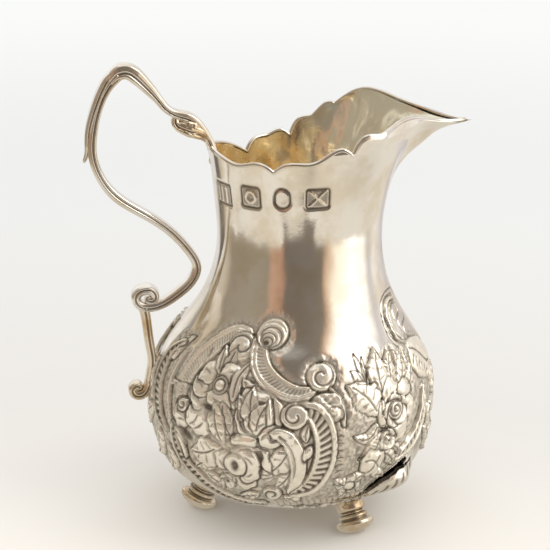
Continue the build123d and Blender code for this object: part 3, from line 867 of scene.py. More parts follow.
# The main flower with its deep eye, its leaves and a small blossom.
MAIN_FLOWER = [
    (leaf, (-128.6, 18.2), (-139.0, 16.2), 3.9, -0.1, 4, 0.1, 0.75),
    (leaf, (-127.6, 21.4), (-140.4, 19.8), 5.9, 0.10, 4, 0.12, 0.85),
    (hollow, (-143.0, 22.6), 4.2, 2.0, -40, 0.45),
    (form, [(-109.4, 22.4), (-107.0, 22.2), (-105.8, 19), (-106.6, 15.8), (-108.2, 16.0),
     (-108.8, 19)], 0.7),
    (hollow, (-110.4, 20.9), 2.0, 2.8, 20, 0.4),
    (blade, (-117.5, 14.6), (-104.9, 17.0), 2.9, 0.22, 0.8),
    (leaf, (-112, 12.3), (-119.5, 11.6), 2.2, 0.1, 3, 0.1, 0.6),
    (leaf, (-133.5, 15.4), (-127.2, 12.4), 2.3, 0.1, 3, 0.1, 0.6),
    (volute, (-105.6, 12.6), 1.75, -1, 20, 1.3),
    (form, [(-121.6, 21.9), (-117, 22.6), (-113.4, 21.4), (-116, 19.8), (-120.4, 20.0)], 0.75, 0.3),
    (form, [(-127.4, 20.4), (-124, 21.2), (-121.8, 19), (-122.8, 16.6), (-126, 16.6), (-127.8, 18.6)],
     0.8),
    (form, [(-125.4, 16.9), (-121.5, 16.9), (-119.1, 15.2), (-122, 13.9), (-125.6, 14.9)], 0.85),
    (form, [(-119.6, 15.9), (-114.3, 16.1), (-112.0, 14.5), (-116, 13.3), (-119.8, 14.1)], 0.85),
    (form, [(-118.4, 21.4), (-113.6, 21.8), (-110.4, 19.2), (-111.2, 16.2), (-115, 15.2),
     (-118.2, 16.6)], 0.95),
    *each(groove, [
        [(-116.4, 20.9), (-114.2, 20.4), (-112.2, 19.0)],
        [(-116.0, 16.6), (-114.0, 16.8), (-112.4, 17.6)],
        [(-126.6, 19.6), (-125.4, 18.8), (-124.6, 17.6)],
        [(-124.4, 15.9), (-122.6, 15.4), (-120.8, 15.4)],
        [(-118.4, 15.2), (-116.4, 14.8), (-114.0, 14.8)],
    ], 0.3, 0.22, 0.7, 0.7),
    (boss, (-119.6, 18.7), 2.1, 1.15, 1.1, 90), (hollow, (-119.6, 18.7), 1.5, 2.3, 0, 0.8, 1.0),
    *[(petal, (-124.0, 14.7), 72 * k + 15, 1.7, 1.9, 0.8) for k in range(5)],
    (hollow, (-124.0, 14.7), 0.9, 0.9, 0, 0.3, 0.9),
    (leaf, (-100, 11.6), (-94, 9.8), 2.2, 0.1, 3, 0.1, 0.6),
]
# Lines cut across the ground by the smooth panel.
PANEL_LINES = [
    *[(groove, [(-80.5, 13.6 - 0.1 * k + 1.5 * k), (-78.6, 14.2 + 1.5 * k), (-76.4, 14.0 + 1.5 * k)],
     0.3, 0.16, 0.8, 0.4) for k in range(8)],
]
# The hatched band along the bottom, and the row of small volutes under it.
BOTTOM_BAND = [
    *[(groove, [(-106 + 2.9 * k, 11.2 - 0.02 * k), (-106 + 2.9 * k + 1.6, 10.0),
     (-106 + 2.9 * k + 2.2, 8.6)], 0.26, 0.14, 0.55) for k in range(16)],
    *[(volute, (-99 + 6.4 * k, 7.6), 1.2, 1 if k % 2 else -1, 60 * k, 1.1, 0.55) for k in range(7)],
]
MOTIFS = [  # in the order they are worked, each over the ones before it
    GROUND, SPOUT_SCROLL, FRONT_FLOWER, DASHED_BAND, PANEL_LEAVES, ROSE, PANEL_EDGE, HANDLE_SCROLL,
    UPPER_SCROLL, SMALL_FLOWER, MIDDLE_SCROLL, CUP_LEAF, CRESCENT, MAIN_FLOWER, PANEL_LINES,
    BOTTOM_BAND,
]


def work(relief, side, rows):
    """Use the tools in rows on one side."""
    relief.side = side
    for tool, *details in rows:
        tool(relief, *details)


def chase_side(relief, side):
    """Work the motifs into one side; the flower under the beak is worked once, for both."""
    for motif in MOTIFS:
        if motif is not FRONT_FLOWER or side > 0:
            work(relief, side, motif)


# ---------------------------------------------------------------- marks struck on the neck
MARKS = [  # angle, height, half width, half height, corner
    (-157.5, 67.6, 2.7, 2.3, 0.3), (-131.4, 68.3, 2.35, 2.25, 0.9),
    (-109.3, 68.6, 1.7, 2.15, 1.65), (-86.8, 68.6, 2.45, 2.1, 0.7),
]


def device_of(kind, x, y):
    """The plain shape that stands in each mark: bars, a ring, nothing, a cross."""
    if kind == 0:
        return np.abs((x + 10) % 1.5 - 0.75) / 0.75 < 0.42
    if kind == 1:
        return np.abs(np.hypot(x, y) - 1.05) < 0.34
    if kind == 2:
        return np.zeros(len(x), bool)
    return np.minimum(np.abs(x - y), np.abs(x + y)) < 0.36


def strike(relief, mark, kind):
    """A struck cartouche: a sunk frame round a raised field with a plain device in it."""
    angle, height, wide, tall, corner = mark
    where, x, y = relief.around((angle, height), max(wide, tall) + 1.2)
    qx, qy = np.abs(x) - wide + corner, np.abs(y) - tall + corner
    outer = np.hypot(np.maximum(qx, 0), np.maximum(qy, 0)) + np.minimum(np.maximum(qx, qy), 0) - corner
    relief.press(where, bump(outer, -0.22, 0.26), 0.26, 0.85)
    inner = cover_of(-outer - 0.55)
    device = device_of(kind, x, y)
    sunk, tint = (1.0, 0.45) if device.any() else (0.0, 0.05)
    relief.press(where, inner * np.where(device, -1.0, sunk), 0.10, 0.0)
    relief.dark[where] = np.maximum(relief.dark[where], inner * np.where(device, 0.0, tint))


# ---------------------------------------------------------------- the split in the sheet
SPLIT = [(-67.5, 8.2), (-62, 10.3), (-57, 12.2), (-51, 13.9), (-46.5, 15.0), (-43, 15.8)]
SPLIT_WIDTHS = [0.0, 0.35, 0.6, 0.75, 0.55, 0.2]
FORK = [(-48, 14.4), (-44.5, 14.7), (-41, 15.1), (-38.5, 15.6)]
FORK_WIDTHS = [0.4, 0.4, 0.25, 0.0]
FLAP_DEPTH = 10.5
# How far the sheet below the tear is bent out, by the way down from it and by the way along it.
FLAP_BULGE = smooth([0, 1.6, 3.8, 7.0, FLAP_DEPTH], [0.65, 1.9, 3.0, 1.7, 0])
FLAP_SWELL = smooth([0, 0.3, 0.6, 0.8, 1.0], [0, 0.5, 0.98, 1.0, 0.45])
FLAP_RIBS = row_of_cuts((-64, 8.7), (3.5, 0.96), [(0, 0), (-0.4, -1.1), (-1.8, -2.2)], 8,
                        0.42, 0.2, 0.8, 0.5)


def split_sheet(relief, jagged):
    """Which vertices lie in the split, and how far the sheet below it is bent outwards."""
    relief.side = 1
    gap = np.full(len(relief.angle), -9.0)
    lift = np.zeros(len(relief.angle))
    for line, widths in ((SPLIT, SPLIT_WIDTHS), (FORK, FORK_WIDTHS)):
        where, gone, side, over, length = relief.along(line, FLAP_DEPTH + 1)
        half = 0.5 * profile_at(gone / length, widths)
        half = half + (jagged[where] - 0.5) * 0.22 * (half > 0.12)
        gap[where] = np.maximum(gap[where], half - np.abs(side) - over)
        if line is SPLIT:
            share = np.clip(gone / length, 0, 1)
            down = np.clip(-side, 0, FLAP_DEPTH)
            fade = step_up(1 - over / 3.5)
            settled = FLAP_BULGE(0.0) * step_up(over / 1.2) * step_up(1 - down / 3)
            bulge = FLAP_BULGE(down) - settled
            dent = 0.35 * np.sin(np.pi * share) * step_up(1 - side / 5)
            lift[where] += np.where(side < 0, bulge * FLAP_SWELL(share) * fade, 0)
            lift[where] -= np.where(side >= 0, dent * fade, 0)
            # A faint darkening just outside the tear's edges.
            tear_fringe = bump(np.abs(side) - half, 0.25, 0.3) * (over <= 0)
            relief.dark[where] = np.maximum(relief.dark[where], 0.12 * tear_fringe)
    return gap, lift


# ---------------------------------------------------------------- the body
COLUMNS, LOW_STEP, MARK_BAND = 900, 0.2, (64.5, 70.4)
RIM_ROWS = 26  # from the band of the marks up to the rim
LINING_COLUMNS, LINING_RIM_ROWS = 480, 22
LINING_HEIGHTS = np.concatenate([[4.42], np.linspace(4.6, 14, 30), np.linspace(14.4, 26, 36),
                                 np.linspace(26.5, 68, 70)])
BEAD = 0.50
LIP_DEPTH = 0.7  # the thickness of the sheet that shows at the tear
LINING_CLEAR = 0.45  # the lining stands this much further in behind the worked part
TIP_SHADE_START = 31.0  # the painted shade under the tip of the beak starts this far forward
RELIEF_SCALE = 0.72  # how far the worked forms really stand out
FLARE_START, FLARE_FULL, FLARE = 64.0, 75, 0.9  # the neck turns out a little towards the rim


def meridian_rows(skin):
    """Meridian places of the level rows, fine where there is relief."""
    def run(low, high, step):
        first, last = skin.place(low), skin.place(high)
        return list(np.linspace(first, last, max(2, int((last - first) / step))))[:-1]
    return np.array(run(3.62, 4.2, 1.2) + run(4.2, 54.5, LOW_STEP) + run(54.5, MARK_BAND[0], 0.7)
                    + run(*MARK_BAND, LOW_STEP) + [skin.place(MARK_BAND[1])])


def skin_grid(skin, columns, level_rows, rim_rows):
    """Angles and places of a grid whose upper rows close up on the wavy rim."""
    angle = np.arange(columns) * 360 / columns - 180
    rim = skin.place(rim_height(angle))
    share = np.linspace(0, 1, rim_rows + 1)[1:, None]
    start = level_rows[-1]
    level = np.repeat(level_rows[:, None], columns, 1)
    places = np.concatenate([level, start + share * (rim - start)])
    return np.broadcast_to(angle, places.shape), places


def normals_of(points):
    """Outward normals of a closed grid of points."""
    across = np.roll(points, -1, 1) - np.roll(points, 1, 1)
    normal = np.cross(across, np.gradient(points, axis=0))
    return normal / np.maximum(np.linalg.norm(normal, axis=-1, keepdims=True), 1e-9)


def flared(points, angle):
    """The neck's slight outward turn towards the rim, away from the beak."""
    off = np.abs((angle + 180) % 360 - 180)
    rise = np.clip((points[..., 2] - FLARE_START) / (FLARE_FULL - FLARE_START), 0, 1.2) ** 2
    out = FLARE * rise * step_up((off - 30) / 40)
    return points + out[..., None] * compass(angle)


def paint_vertices(piece, name, values):
    """Store one number on each vertex for the material."""
    layer = piece.data.attributes.new(name, "FLOAT", "POINT")
    layer.data.foreach_set("value", np.asarray(values, np.float32).ravel())


def edges_of(quads):
    """The four directed edges of every face."""
    return np.concatenate([quads[:, [k, (k + 1) % 4]] for k in range(4)])


def kept_quads(quads, open_vertices):
    """The faces without those that touch a hole, and the hole's border edges in order."""
    touched = open_vertices[quads].any(1)
    keep, edges = quads[~touched], edges_of(quads[touched])
    kept = edges_of(keep)
    top = int(quads.max()) + 1
    codes = kept[:, 1].astype(np.int64) * top + kept[:, 0]
    border = edges[np.isin(edges[:, 0].astype(np.int64) * top + edges[:, 1], codes)]
    return keep, border


def uneven(relief, size, seed, much):
    """Random unevenness of a given size, in millimetres either way."""
    return (grain(relief.angle, relief.place, size, seed) - 0.5) * much


def chased_skin():
    """The outer skin's grid: angles, points, normals, relief, and each vertex's place in the tear."""
    angle, place = skin_grid(outside, COLUMNS, meridian_rows(outside), RIM_ROWS)
    base = flared(outside(angle, place), angle)
    normal = normals_of(base)
    centre = outside.curve(place)[..., 1]
    relief = Relief(outside, angle, place, np.hypot(base[..., 0] - centre, base[..., 1]))
    chase_side(relief, 1)
    chase_side(relief, -1)
    work(relief, 1, FLAP_RIBS)
    ground = relief.field * (1 - relief.cover)
    matting = uneven(relief, 0.42, 11, 1)
    relief.height += ground * (-0.16 + 0.18 * matting)
    relief.dark = np.maximum(relief.dark, ground * (0.36 + 0.5 * matting))
    for kind, mark in enumerate(MARKS):
        strike(relief, mark, kind)
    x, _, z = base.reshape(-1, 3).T
    # Painted shade under the tip of the beak.
    tip_shade = 0.9 * step_up((x - TIP_SHADE_START) / 2.0) * step_up((80.0 - z) / 1.5)
    relief.dark = np.maximum(relief.dark, tip_shade)
    gap, lift = split_sheet(relief, grain(relief.angle, relief.place, 0.7, 31))
    wobble = uneven(relief, 7, 21, 0.16) + uneven(relief, 3, 22, 0.035)
    hammered = uneven(relief, 0.8, 23, 0.17) + uneven(relief, 2.1, 24, 0.22)
    shift = RELIEF_SCALE * relief.height + wobble * (1 - relief.field) + hammered * relief.field
    shift = shift.reshape(angle.shape)
    shift[:3] = 0
    lift = lift.reshape(angle.shape)
    points = base + normal * shift[..., None] + compass(angle) * lift[..., None]
    return angle, points, normal, relief, gap


def rim_bead(edge, angle):
    """Rows of the rounded bead from the outer skin's edge over to the lining's."""
    inner_edge = flared(inside(angle, inside.place(edge[:, 2])), angle)
    middle = 0.5 * (edge + inner_edge)
    across = unit(edge - inner_edge)
    along = np.roll(middle, -1, 0) - np.roll(middle, 1, 0)
    upward = unit(np.cross(across, along))
    turns = np.radians(np.linspace(-60, 240, 13))[:, None, None]
    return middle + BEAD * (np.cos(turns) * across + 0.9 * np.sin(turns) * upward)


def build_skin(silver):
    """The outer skin with its relief and its tear, closed above by the rim bead."""
    angle, points, normal, relief, gap = chased_skin()
    bead = rim_bead(points[-1], angle[-1])
    bottom = points[0].mean(0)[None]
    skin = np.concatenate([points.reshape(-1, 3), bead.reshape(-1, 3), bottom])
    start, others = len(skin), len(skin) - len(gap)
    open_vertices = np.append(gap > 0, np.zeros(others, bool))
    keep, border = kept_quads(grid_quads(len(points) + len(bead), COLUMNS), open_vertices)
    outward = np.concatenate([normal.reshape(-1, 3), np.zeros((others, 3))])
    lip = (skin[border] - LIP_DEPTH * outward[border]).reshape(-1, 3)
    first = start + 2 * np.arange(len(border))
    lip_quads = np.stack([border[:, 1], border[:, 0], first, first + 1], 1)
    body = put("body_skin", np.concatenate([skin, lip]), np.concatenate([keep, lip_quads]), silver,
               ["body"], fan(start - 1, np.arange(COLUMNS), flip=True))
    # The sheet's edge inside the tear is painted dark: oxide with painted shade in the gap.
    dark = np.concatenate([relief.dark, np.zeros(others), np.full(len(lip), 0.8)])
    paint_vertices(body, "recess", np.clip(dark, 0, 1))
    paint_vertices(body, "worked", np.append(relief.field, np.zeros(others + len(lip))))


def build_lining(gilding):
    """The gilded lining, a little in from the worked part and torn where the outer skin is."""
    level = np.array([inside.place(z) for z in LINING_HEIGHTS])
    angle, place = skin_grid(inside, LINING_COLUMNS, level, LINING_RIM_ROWS)
    base = flared(inside(angle, place), angle)
    normal = normals_of(base)
    inner = Relief(inside, angle, place, np.hypot(base[..., 0], base[..., 1]))
    height = base[..., 2].ravel()
    dents = grain(inner.angle, inner.place, 1.6, 41) * np.clip((42 - height) / 8, 0, 1)
    edge_fade = np.clip((rim_height(inner.angle) - height) / 3, 0, 1)
    in_neck = np.clip((height - 56) / 8, 0, 1)
    ripple = uneven(inner, 2.6, 42, 0.30) + uneven(inner, 6.0, 43, 1.3) * edge_fade * in_neck
    gap, lift = split_sheet(inner, np.full(len(inner.angle), 0.5))
    deeper = LINING_CLEAR * np.clip((44 - height) / 6, 0, 1)
    shift = ripple - deeper - 0.4 * dents + np.minimum(lift, 0)
    base = base + normal * shift.reshape(angle.shape)[..., None]
    base[-1] = flared(inside(angle[-1], inside.place(rim_height(angle[-1]))), angle[-1])
    points = np.concatenate([base.reshape(-1, 3), base[0].mean(0)[None]])
    quads = grid_quads(len(base), LINING_COLUMNS)[:, ::-1]
    keep, _ = kept_quads(quads, np.append(gap > -0.1, False))
    lining = put("body_gilt_lining", points, keep, gilding,
                 fans=fan(len(points) - 1, np.arange(LINING_COLUMNS)))
    x, _, z = points.T
    turned = np.append(inner.angle, 0)
    # Painted shade on the lining round the tear, where it shows through the opening, and in a concave
    # lobe of the far lip wall; the lining is also made darker towards the bottom.
    split_shade = np.clip(1.2 - np.hypot((turned + 52) / 30, (z - 13) / 9), 0, 1)
    low_dark = np.clip((34 - z) / 12, 0, 1) * 0.85
    lobe_shade = 0.55 * bump(np.hypot((turned - 86) / 11, (z - 73.5) / 3.2), 0, 1)
    paint_vertices(lining, "worn", np.clip((x - 2) / 9, 0, 1) * np.clip((z - 40) / 10, 0, 1))
    paint_vertices(lining, "recess", np.maximum(np.maximum(split_shade, low_dark), lobe_shade))


# ---------------------------------------------------------------- handle
UPPER_ARM = [
    (-15.4, 73.6), (-16.6, 76.4), (-18.2, 79.0), (-20.2, 81.0), (-22.7, 81.9), (-24.9, 83.2),
    (-26.6, 85.3), (-28.4, 87.4), (-30.3, 89.4), (-32.4, 90.7), (-34.4, 90.2), (-35.9, 88.3),
]
LEAF_CURL = [(-16.9, 76.4), (-18.0, 77.8), (-19.7, 78.7), (-21.5, 79.4), (-23.2, 80.6), (-23.0, 81.8)]
KNOT = [(-17.8, 78.7), (-19.4, 79.0), (-21.2, 79.6), (-22.8, 80.6)]
ARM_PRONG = [(-17.8, 78.4), (-16.9, 76.0), (-16.3, 73.9), (-16.6, 71.9)]
MAIN_SCROLL = [
    (-33.6, 90.2), (-35.3, 88.6), (-37.6, 84.6), (-39.0, 79.4), (-39.3, 74.5), (-38.3, 70.8),
    (-35.4, 66.4), (-30.2, 62.7), (-25.0, 59.0), (-20.8, 54.2), (-19.5, 51.2), (-20.4, 48.6),
    (-23.2, 45.9), (-26.2, 44.0), (-29.0, 43.3), (-31.2, 44.1), (-31.5, 45.9), (-29.9, 46.9),
    (-28.2, 46.4), (-27.9, 45.3), (-28.9, 44.8), (-29.7, 45.4),
]
BACK_LEAF = [
    (-33.4, 91.2), (-35.2, 90.2), (-37.4, 87.0), (-39.1, 82.6), (-40.1, 78.0), (-40.3, 75.0),
    (-41.1, 72.9),
]
BRACKET = [
    (-30.4, 43.9), (-30.0, 42.4), (-29.7, 40.5), (-29.4, 37.5), (-29.0, 34.6), (-28.7, 32.2),
    (-28.9, 30.2), (-29.3, 28.0), (-29.9, 26.0), (-31.1, 24.9), (-32.4, 25.2), (-32.6, 26.4),
    (-31.7, 26.8), (-31.3, 26.1),
]
WARM, PALE = True, False
STRAPS = [  # name, line, widths and depths along it, metal, replaced nodes, darkness of grooves
    ("handle_upper_arm_strap", UPPER_ARM, [3.9, 2.9, 3.0, 3.4, 3.4, 3.2, 3.6, 4.2, 4.0, 3.2],
     [1.2, 1.7, 2.0, 2.1, 1.6, 1.8, 2.5, 3.1, 3.0, 1.6], PALE, ["handle_upper_arm"], 0.8),
    ("handle_leaf_curl", LEAF_CURL, [2.2, 4.0, 5.0, 4.6, 2.8], [1.0, 2.4, 2.9, 2.3, 1.1], WARM, [], 0.7),
    ("handle_leaf_knot", KNOT, [2.6, 4.6, 4.8, 2.8], [1.2, 3.3, 3.2, 1.2], WARM, [], 0.7),
    ("handle_arm_prong", ARM_PRONG, [2.2, 1.6, 1.2, 0.6], [1.2, 1.0, 0.9, 0.6], PALE, [], 0.8),
    ("handle_main_scroll_strap", MAIN_SCROLL,
     [3.6, 3.2, 3.0, 2.9, 2.9, 2.9, 2.9, 3.0, 3.1, 3.4, 3.8, 3.6],
     [2.1, 1.8, 1.8, 1.8, 2.0, 1.9, 1.8, 1.8, 1.9, 1.8, 2.0, 1.7], PALE, ["handle_main_scroll"], 0.8),
    ("handle_back_leaf", BACK_LEAF, [2.4, 3.8, 3.9, 3.6, 3.0, 2.2, 0.8],
     [0.9, 1.4, 1.5, 1.4, 1.3, 1.3, 0.6], PALE, [], 0.6),
    ("handle_lower_bracket_strap", BRACKET, [3.3, 2.8, 2.7, 2.7, 2.8, 3.2, 3.2],
     [2.2, 1.9, 1.9, 1.8, 1.8, 2.0, 1.6], WARM, ["handle_lower_bracket"], 0.8),
]
STRAP_POINTS, STRAP_STEP, STRAP_END = 44, 0.25, 0.5  # round the section, along, and its rounding


def strap_section():
    """A cushion-shaped section with two grooves down each side: (across, deep) in -1..1."""
    turn = np.linspace(0, 2 * np.pi, STRAP_POINTS, endpoint=False)
    across, deep = np.cos(turn), np.sin(turn)
    box = (np.abs(across) ** 4 + np.abs(deep) ** 4) ** -0.25
    across, deep = across * box, deep * box
    side = np.abs(across) > 0.75
    cut = (bump(deep, 0.15, 0.13) + 0.4 * bump(deep, -0.55, 0.08)) * side
    return across * (1 - 0.26 * cut), deep, cut


def strap(name, line, widths, depths, material, replaces, grooved):
    """A grooved strip along a line in the handle's plane."""
    centre, run = line_through(line, STRAP_STEP)
    ahead = unit(np.gradient(centre, axis=0))
    share = run / run[-1]
    wide, deep = profile_at(share, widths) / 2, profile_at(share, depths) / 2
    across, up, cut = strap_section()
    to_end = np.minimum(run, run[-1] - run)
    round_off = np.sqrt(np.clip(1 - (1 - to_end / STRAP_END) ** 2, 0.02, 1))
    round_off[to_end > STRAP_END] = 1
    offset = up[None, :] * (deep * round_off)[:, None]
    x = centre[:, 0, None] - ahead[:, 1, None] * offset
    y = across[None, :] * (wide * round_off)[:, None]
    z = centre[:, 1, None] + ahead[:, 0, None] * offset
    grid = np.stack([x, y, z], -1)
    rows, count = grid.shape[:2]
    points = np.concatenate([grid.reshape(-1, 3), grid[0].mean(0)[None], grid[-1].mean(0)[None]])
    ring = np.arange(count)
    ends = np.concatenate([fan(rows * count, ring),
                           fan(rows * count + 1, (rows - 1) * count + ring, flip=True)])
    piece = put(name, points, grid_quads(rows, count)[:, ::-1], material, replaces, ends)
    paint_vertices(piece, "recess", np.append(np.tile(grooved * cut, rows), [0, 0]))
    paint_vertices(piece, "worked", np.zeros(len(points)))


def build_handle(silver, warm_silver):
    """The three cast lengths of the handle, with their leaves, thorn and rolled ends."""
    for name, line, widths, depths, metal, replaces, grooved in STRAPS:
        material = warm_silver if metal is WARM else silver
        strap(name, line, widths, depths, material, replaces, grooved)


# ---------------------------------------------------------------- feet
FEET = [("foot_handle_side", 180), ("foot_spout_near", -60), ("foot_spout_far", 60)]
FOOT_CIRCLE, FOOT_LEAN, FOOT_MIDDLE, FOOT_POINTS = 19.9, 26.0, 1.4, 96
FOOT_PROFILE = [
    (0.3, -1.5), (2.4, -1.1), (3.4, -0.5), (3.8, 0.2), (3.5, 0.85), (2.62, 1.10), (2.58, 1.22),
    (2.95, 1.6), (2.78, 2.05), (2.16, 2.3), (2.12, 2.42), (2.62, 2.9), (2.78, 3.7), (2.6, 4.7),
    (2.45, 5.6), (2.6, 6.6), (3.0, 7.5),
]


def build_foot(name, angle, silver):
    """One stepped hoof foot, turned on an axis that leans in to the body."""
    profile, _ = line_through(FOOT_PROFILE, 0.12)
    wide, along = profile.T
    turn = np.linspace(0, 2 * np.pi, FOOT_POINTS, endpoint=False)
    lean, way = math.radians(FOOT_LEAN), math.radians(angle)
    outward = np.array([math.cos(way), math.sin(way), 0])
    upward = np.array([0, 0, 1.0])
    axis = upward * math.cos(lean) - outward * math.sin(lean)
    toe = outward * math.cos(lean) + upward * math.sin(lean)
    third = np.cross(axis, toe)
    middle = outward * FOOT_CIRCLE + upward * FOOT_MIDDLE
    around = np.cos(turn)[:, None] * toe + np.sin(turn)[:, None] * third
    points = middle + along[:, None, None] * axis + wide[:, None, None] * around
    points[..., 2] = np.maximum(points[..., 2], 0)
    flat = np.concatenate([points.reshape(-1, 3), [points[0].mean(0)]])
    piece = put(name + "_casting", flat, grid_quads(len(points), FOOT_POINTS), silver,
                [name], fan(len(flat) - 1, np.arange(FOOT_POINTS), flip=True))
    notch = bump(along, 1.15, 0.16) + bump(along, 2.2, 0.15)
    dark = np.repeat(np.clip(notch, 0, 1) * 0.8, FOOT_POINTS)
    paint_vertices(piece, "recess", np.append(dark, 0))
    paint_vertices(piece, "worked", np.zeros(len(flat)))


# ---------------------------------------------------------------- studio
HEADING = 8.0  # the camera stands this many degrees round from the jug's near side
CAMERA_LIFT, CAMERA_AWAY, LENS, AIM_HEIGHT, SHIFT = 17.0, 380.0, 124.4, 48.5, -0.0345
ROOM = [  # degrees round from the camera's side, to its right, and what is there
    (-180, (0.78, 0.76, 0.75)), (-144, (0.76, 0.73, 0.70)), (-138, (0.15, 0.13, 0.11)),
    (-126, (0.15, 0.13, 0.10)), (-119, (0.60, 0.52, 0.42)), (-112, (0.50, 0.42, 0.32)),
    (-100, (0.30, 0.25, 0.19)), (-60, (0.32, 0.27, 0.20)), (-40, (0.30, 0.245, 0.18)),
    (-35, (0.52, 0.32, 0.21)), (-23, (0.44, 0.25, 0.16)), (-18, (0.16, 0.13, 0.105)),
    (18, (0.18, 0.15, 0.12)), (33, (0.21, 0.175, 0.135)), (37, (0.55, 0.36, 0.25)),
    (44, (0.95, 0.78, 0.62)), (50, (1.25, 1.18, 1.08)), (72, (1.6, 1.55, 1.48)),
    (93, (1.25, 1.2, 1.12)), (103, (0.66, 0.62, 0.61)), (109, (0.72, 0.68, 0.66)),
    (116, (0.95, 0.90, 0.84)), (130, (0.80, 0.74, 0.70)), (148, (0.60, 0.56, 0.56)),
    (163, (0.80, 0.77, 0.74)), (180, (0.78, 0.76, 0.75)),
]
CEILING = (0.86, 0.84, 0.80, 1)
DAYLIGHT = (1.3, 1.3, 1.29, 1)
TABLE_TONE_AND_LIGHT = [  # from under the jug outwards, as a share of TABLE_FAR: warm, with painted light brightest round the foot to offset the jug's shadow
    (0.0, (0.97, 0.90, 0.81)), (0.09, (0.735, 0.70, 0.655)), (0.22, (0.60, 0.585, 0.565)),
    (0.5, (0.60, 0.605, 0.60)), (1.0, (0.675, 0.68, 0.675)),
]
TABLE_FAR, TABLE_SIZE = 0.75, 4.0
# What the metal sees of the table near the jug: a glowing pale sheet, a painted reflection, darker close
# to the jug as painted shade.
PAPER_GLOW_TONES = [(0.12, (0.50, 0.46, 0.395)), (0.35, (0.64, 0.59, 0.51)), (0.75, (0.76, 0.695, 0.60))]
PAPER_GLOW_EDGE = (0.206, 0.211)  # how far from the jug the glowing pale sheet ends
LIGHTS = [  # name, place, size, power, colour
    ("key", (0.60, -0.20, 0.70), 0.6, 2.0, (1.0, 0.98, 0.95)),
    ("back", (-0.35, 0.7, 0.6), 1.6, 0.9, (1.0, 1.0, 1.0)),
]


def towards_camera(lift):
    """The direction from the jug to the camera, lifted by some degrees."""
    lift, heading = math.radians(lift), math.radians(-HEADING)
    level = math.cos(lift)
    return Vector((math.sin(heading) * level, -math.cos(heading) * level, math.sin(lift)))


def build_camera():
    """The photographer's viewpoint."""
    back = towards_camera(CAMERA_LIFT)
    data = bpy.data.cameras.new("camera")
    data.lens, data.sensor_width, data.shift_x = LENS, 36, SHIFT
    data.clip_start, data.clip_end = 0.02, 20
    camera = bpy.data.objects.new("camera", data)
    camera.location = AXIS + Vector((0, 0, AIM_HEIGHT * MM)) + back * CAMERA_AWAY * MM
    camera.rotation_euler = (-back).to_track_quat("-Z", "Y").to_euler()
    bpy.context.scene.collection.objects.link(camera)
    bpy.context.scene.camera = camera


def room_colour(add, direction):
    """What stands round the table in each direction, as the polished metal sees it."""
    turned = add("VectorRotate", {"Vector": direction, "Angle": math.radians(HEADING)},
                 rotation_type="Z_AXIS")
    parts = add("SeparateXYZ", {0: turned.outputs[0]}).outputs
    round_jug = calc(add, "ARCTAN2", parts[0], calc(add, "MULTIPLY", parts[1], -1.0))
    share = remap(add, round_jug, -math.pi, math.pi)
    return ramp(add, share, [((degrees + 180) / 360, colour) for degrees, colour in ROOM])


def build_world():
    """Soft pale light all round; the metal also sees the darker room in front of the table."""
    world = bpy.data.worlds.new("studio")
    bpy.context.scene.world = world
    world.use_nodes = True
    world.node_tree.nodes.clear()
    add = node_adder(world.node_tree)
    direction = add("TexCoord").outputs["Generated"]
    lift = add("SeparateXYZ", {0: direction}).outputs[2]
    above = remap(add, lift, 0.80, 0.95)
    seen = mix_colour(add, above, room_colour(add, direction), CEILING)
    glossy = add("LightPath").outputs["Is Glossy Ray"]
    colour = mix_colour(add, glossy, DAYLIGHT, seen)
    show(world.node_tree, "World", add("Background", {0: colour, 1: 1.0}))


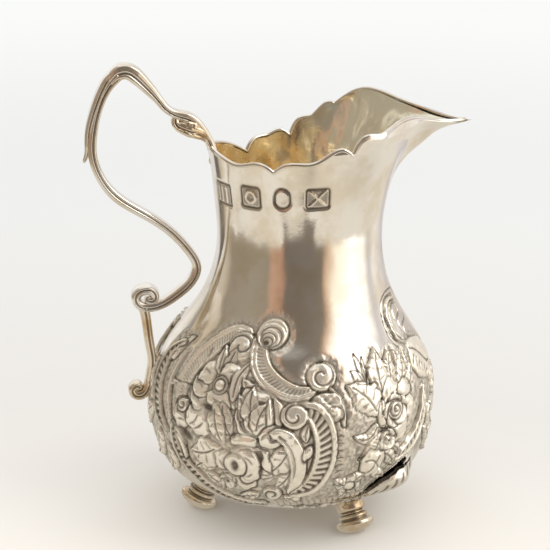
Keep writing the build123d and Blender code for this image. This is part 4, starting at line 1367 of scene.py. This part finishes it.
def table_material():
    """Pale table, warmer and brighter round the jug's foot, where painted light offsets its shadow; the
    metal sees the table glow as a painted reflection of a pale sheet and, beyond its edge, the room.
    """
    material, add = new_material("pale_table")
    place = add("TexCoord").outputs["Object"]
    near = add("Mapping", {"Vector": place, "Location": (0.03, 0.085, 0)}).outputs[0]
    far = add("VectorMath", {0: near}, operation="LENGTH").outputs["Value"]
    # The table's colour holds painted light: brighter round the jug's foot to offset its shadow, darker
    # further out.
    tone_and_light = ramp(add, remap(add, far, 0.0, TABLE_FAR), TABLE_TONE_AND_LIGHT, "EASE")
    diffuse = add("BsdfDiffuse", {"Color": tone_and_light, "Roughness": 0.0})
    reach = add("VectorMath", {0: place}, operation="LENGTH").outputs["Value"]
    ragged = calc(add, "MULTIPLY_ADD", noise(add, place, 14, 2), 0.05, reach)
    heading = add("VectorMath", {0: place}, operation="NORMALIZE").outputs[0]
    towards = add("VectorMath", {0: heading, 1: towards_camera(0.0)}, operation="DOT_PRODUCT")
    ahead = remap(add, towards.outputs["Value"], 0.90, 0.955, interpolation_type="SMOOTHSTEP")
    ragged = calc(add, "MULTIPLY_ADD", ahead, 0.034, ragged)
    beyond = remap(add, ragged, *PAPER_GLOW_EDGE)
    # For rays off the metal the table glows as a painted reflection: a pale sheet, then the room beyond
    # its ragged edge.
    paper_glow = ramp(add, remap(add, reach, 0.0, 0.2), PAPER_GLOW_TONES, "EASE")
    glow_for_metal = add("Emission", {0: mix_colour(add, beyond, paper_glow, room_colour(add, place)), 1: 1.0})
    glossy = add("LightPath").outputs["Is Glossy Ray"]
    share = calc(add, "MULTIPLY", remap(add, beyond, 0.0, 1.0, 0.85, 1.0), glossy)
    both = add("MixShader", {0: share, 1: diffuse.outputs[0], 2: glow_for_metal.outputs[0]})
    show(material.node_tree, "Material", both)
    return material


def build_table():
    """A plain flat table."""
    mesh = bpy.data.meshes.new("table")
    corners = [(x * TABLE_SIZE, y * TABLE_SIZE, 0) for x, y in ((-1, -1), (1, -1), (1, 1), (-1, 1))]
    mesh.from_pydata(corners, [], [(0, 1, 2, 3)])
    mesh.materials.append(table_material())
    table = bpy.data.objects.new("table", mesh)
    table.location = (0, 0, -0.00005)
    bpy.context.scene.collection.objects.link(table)


def build_lights():
    """One large soft light, high on the right, and a weak one behind."""
    for name, place, size, power, colour in LIGHTS:
        data = bpy.data.lights.new(name, "AREA")
        data.shape, data.size, data.energy, data.color = "DISK", size, power, colour
        light = bpy.data.objects.new(name, data)
        light.location = place
        aim = Vector((0, 0, 0.04)) - Vector(place)
        light.rotation_euler = aim.to_track_quat("-Z", "Y").to_euler()
        bpy.context.scene.collection.objects.link(light)


bpy.context.scene.view_settings.view_transform = "Standard"
body_silver = silver_material("chased_silver", 0.045, 0.8, 0.2)
cast_silver = silver_material("cast_silver", 0.12, 0.85, 0.3)
build_skin(body_silver)
build_lining(gilt_material())
warm_silver = silver_material("gold_brown_casting", 0.12, 1.0, 0.3, GOLD_BROWN, PALE_BRASS)
build_handle(cast_silver, warm_silver)
for foot, foot_angle in FEET:
    build_foot(foot, foot_angle, warm_silver)
build_camera()
build_world()
build_table()
build_lights()
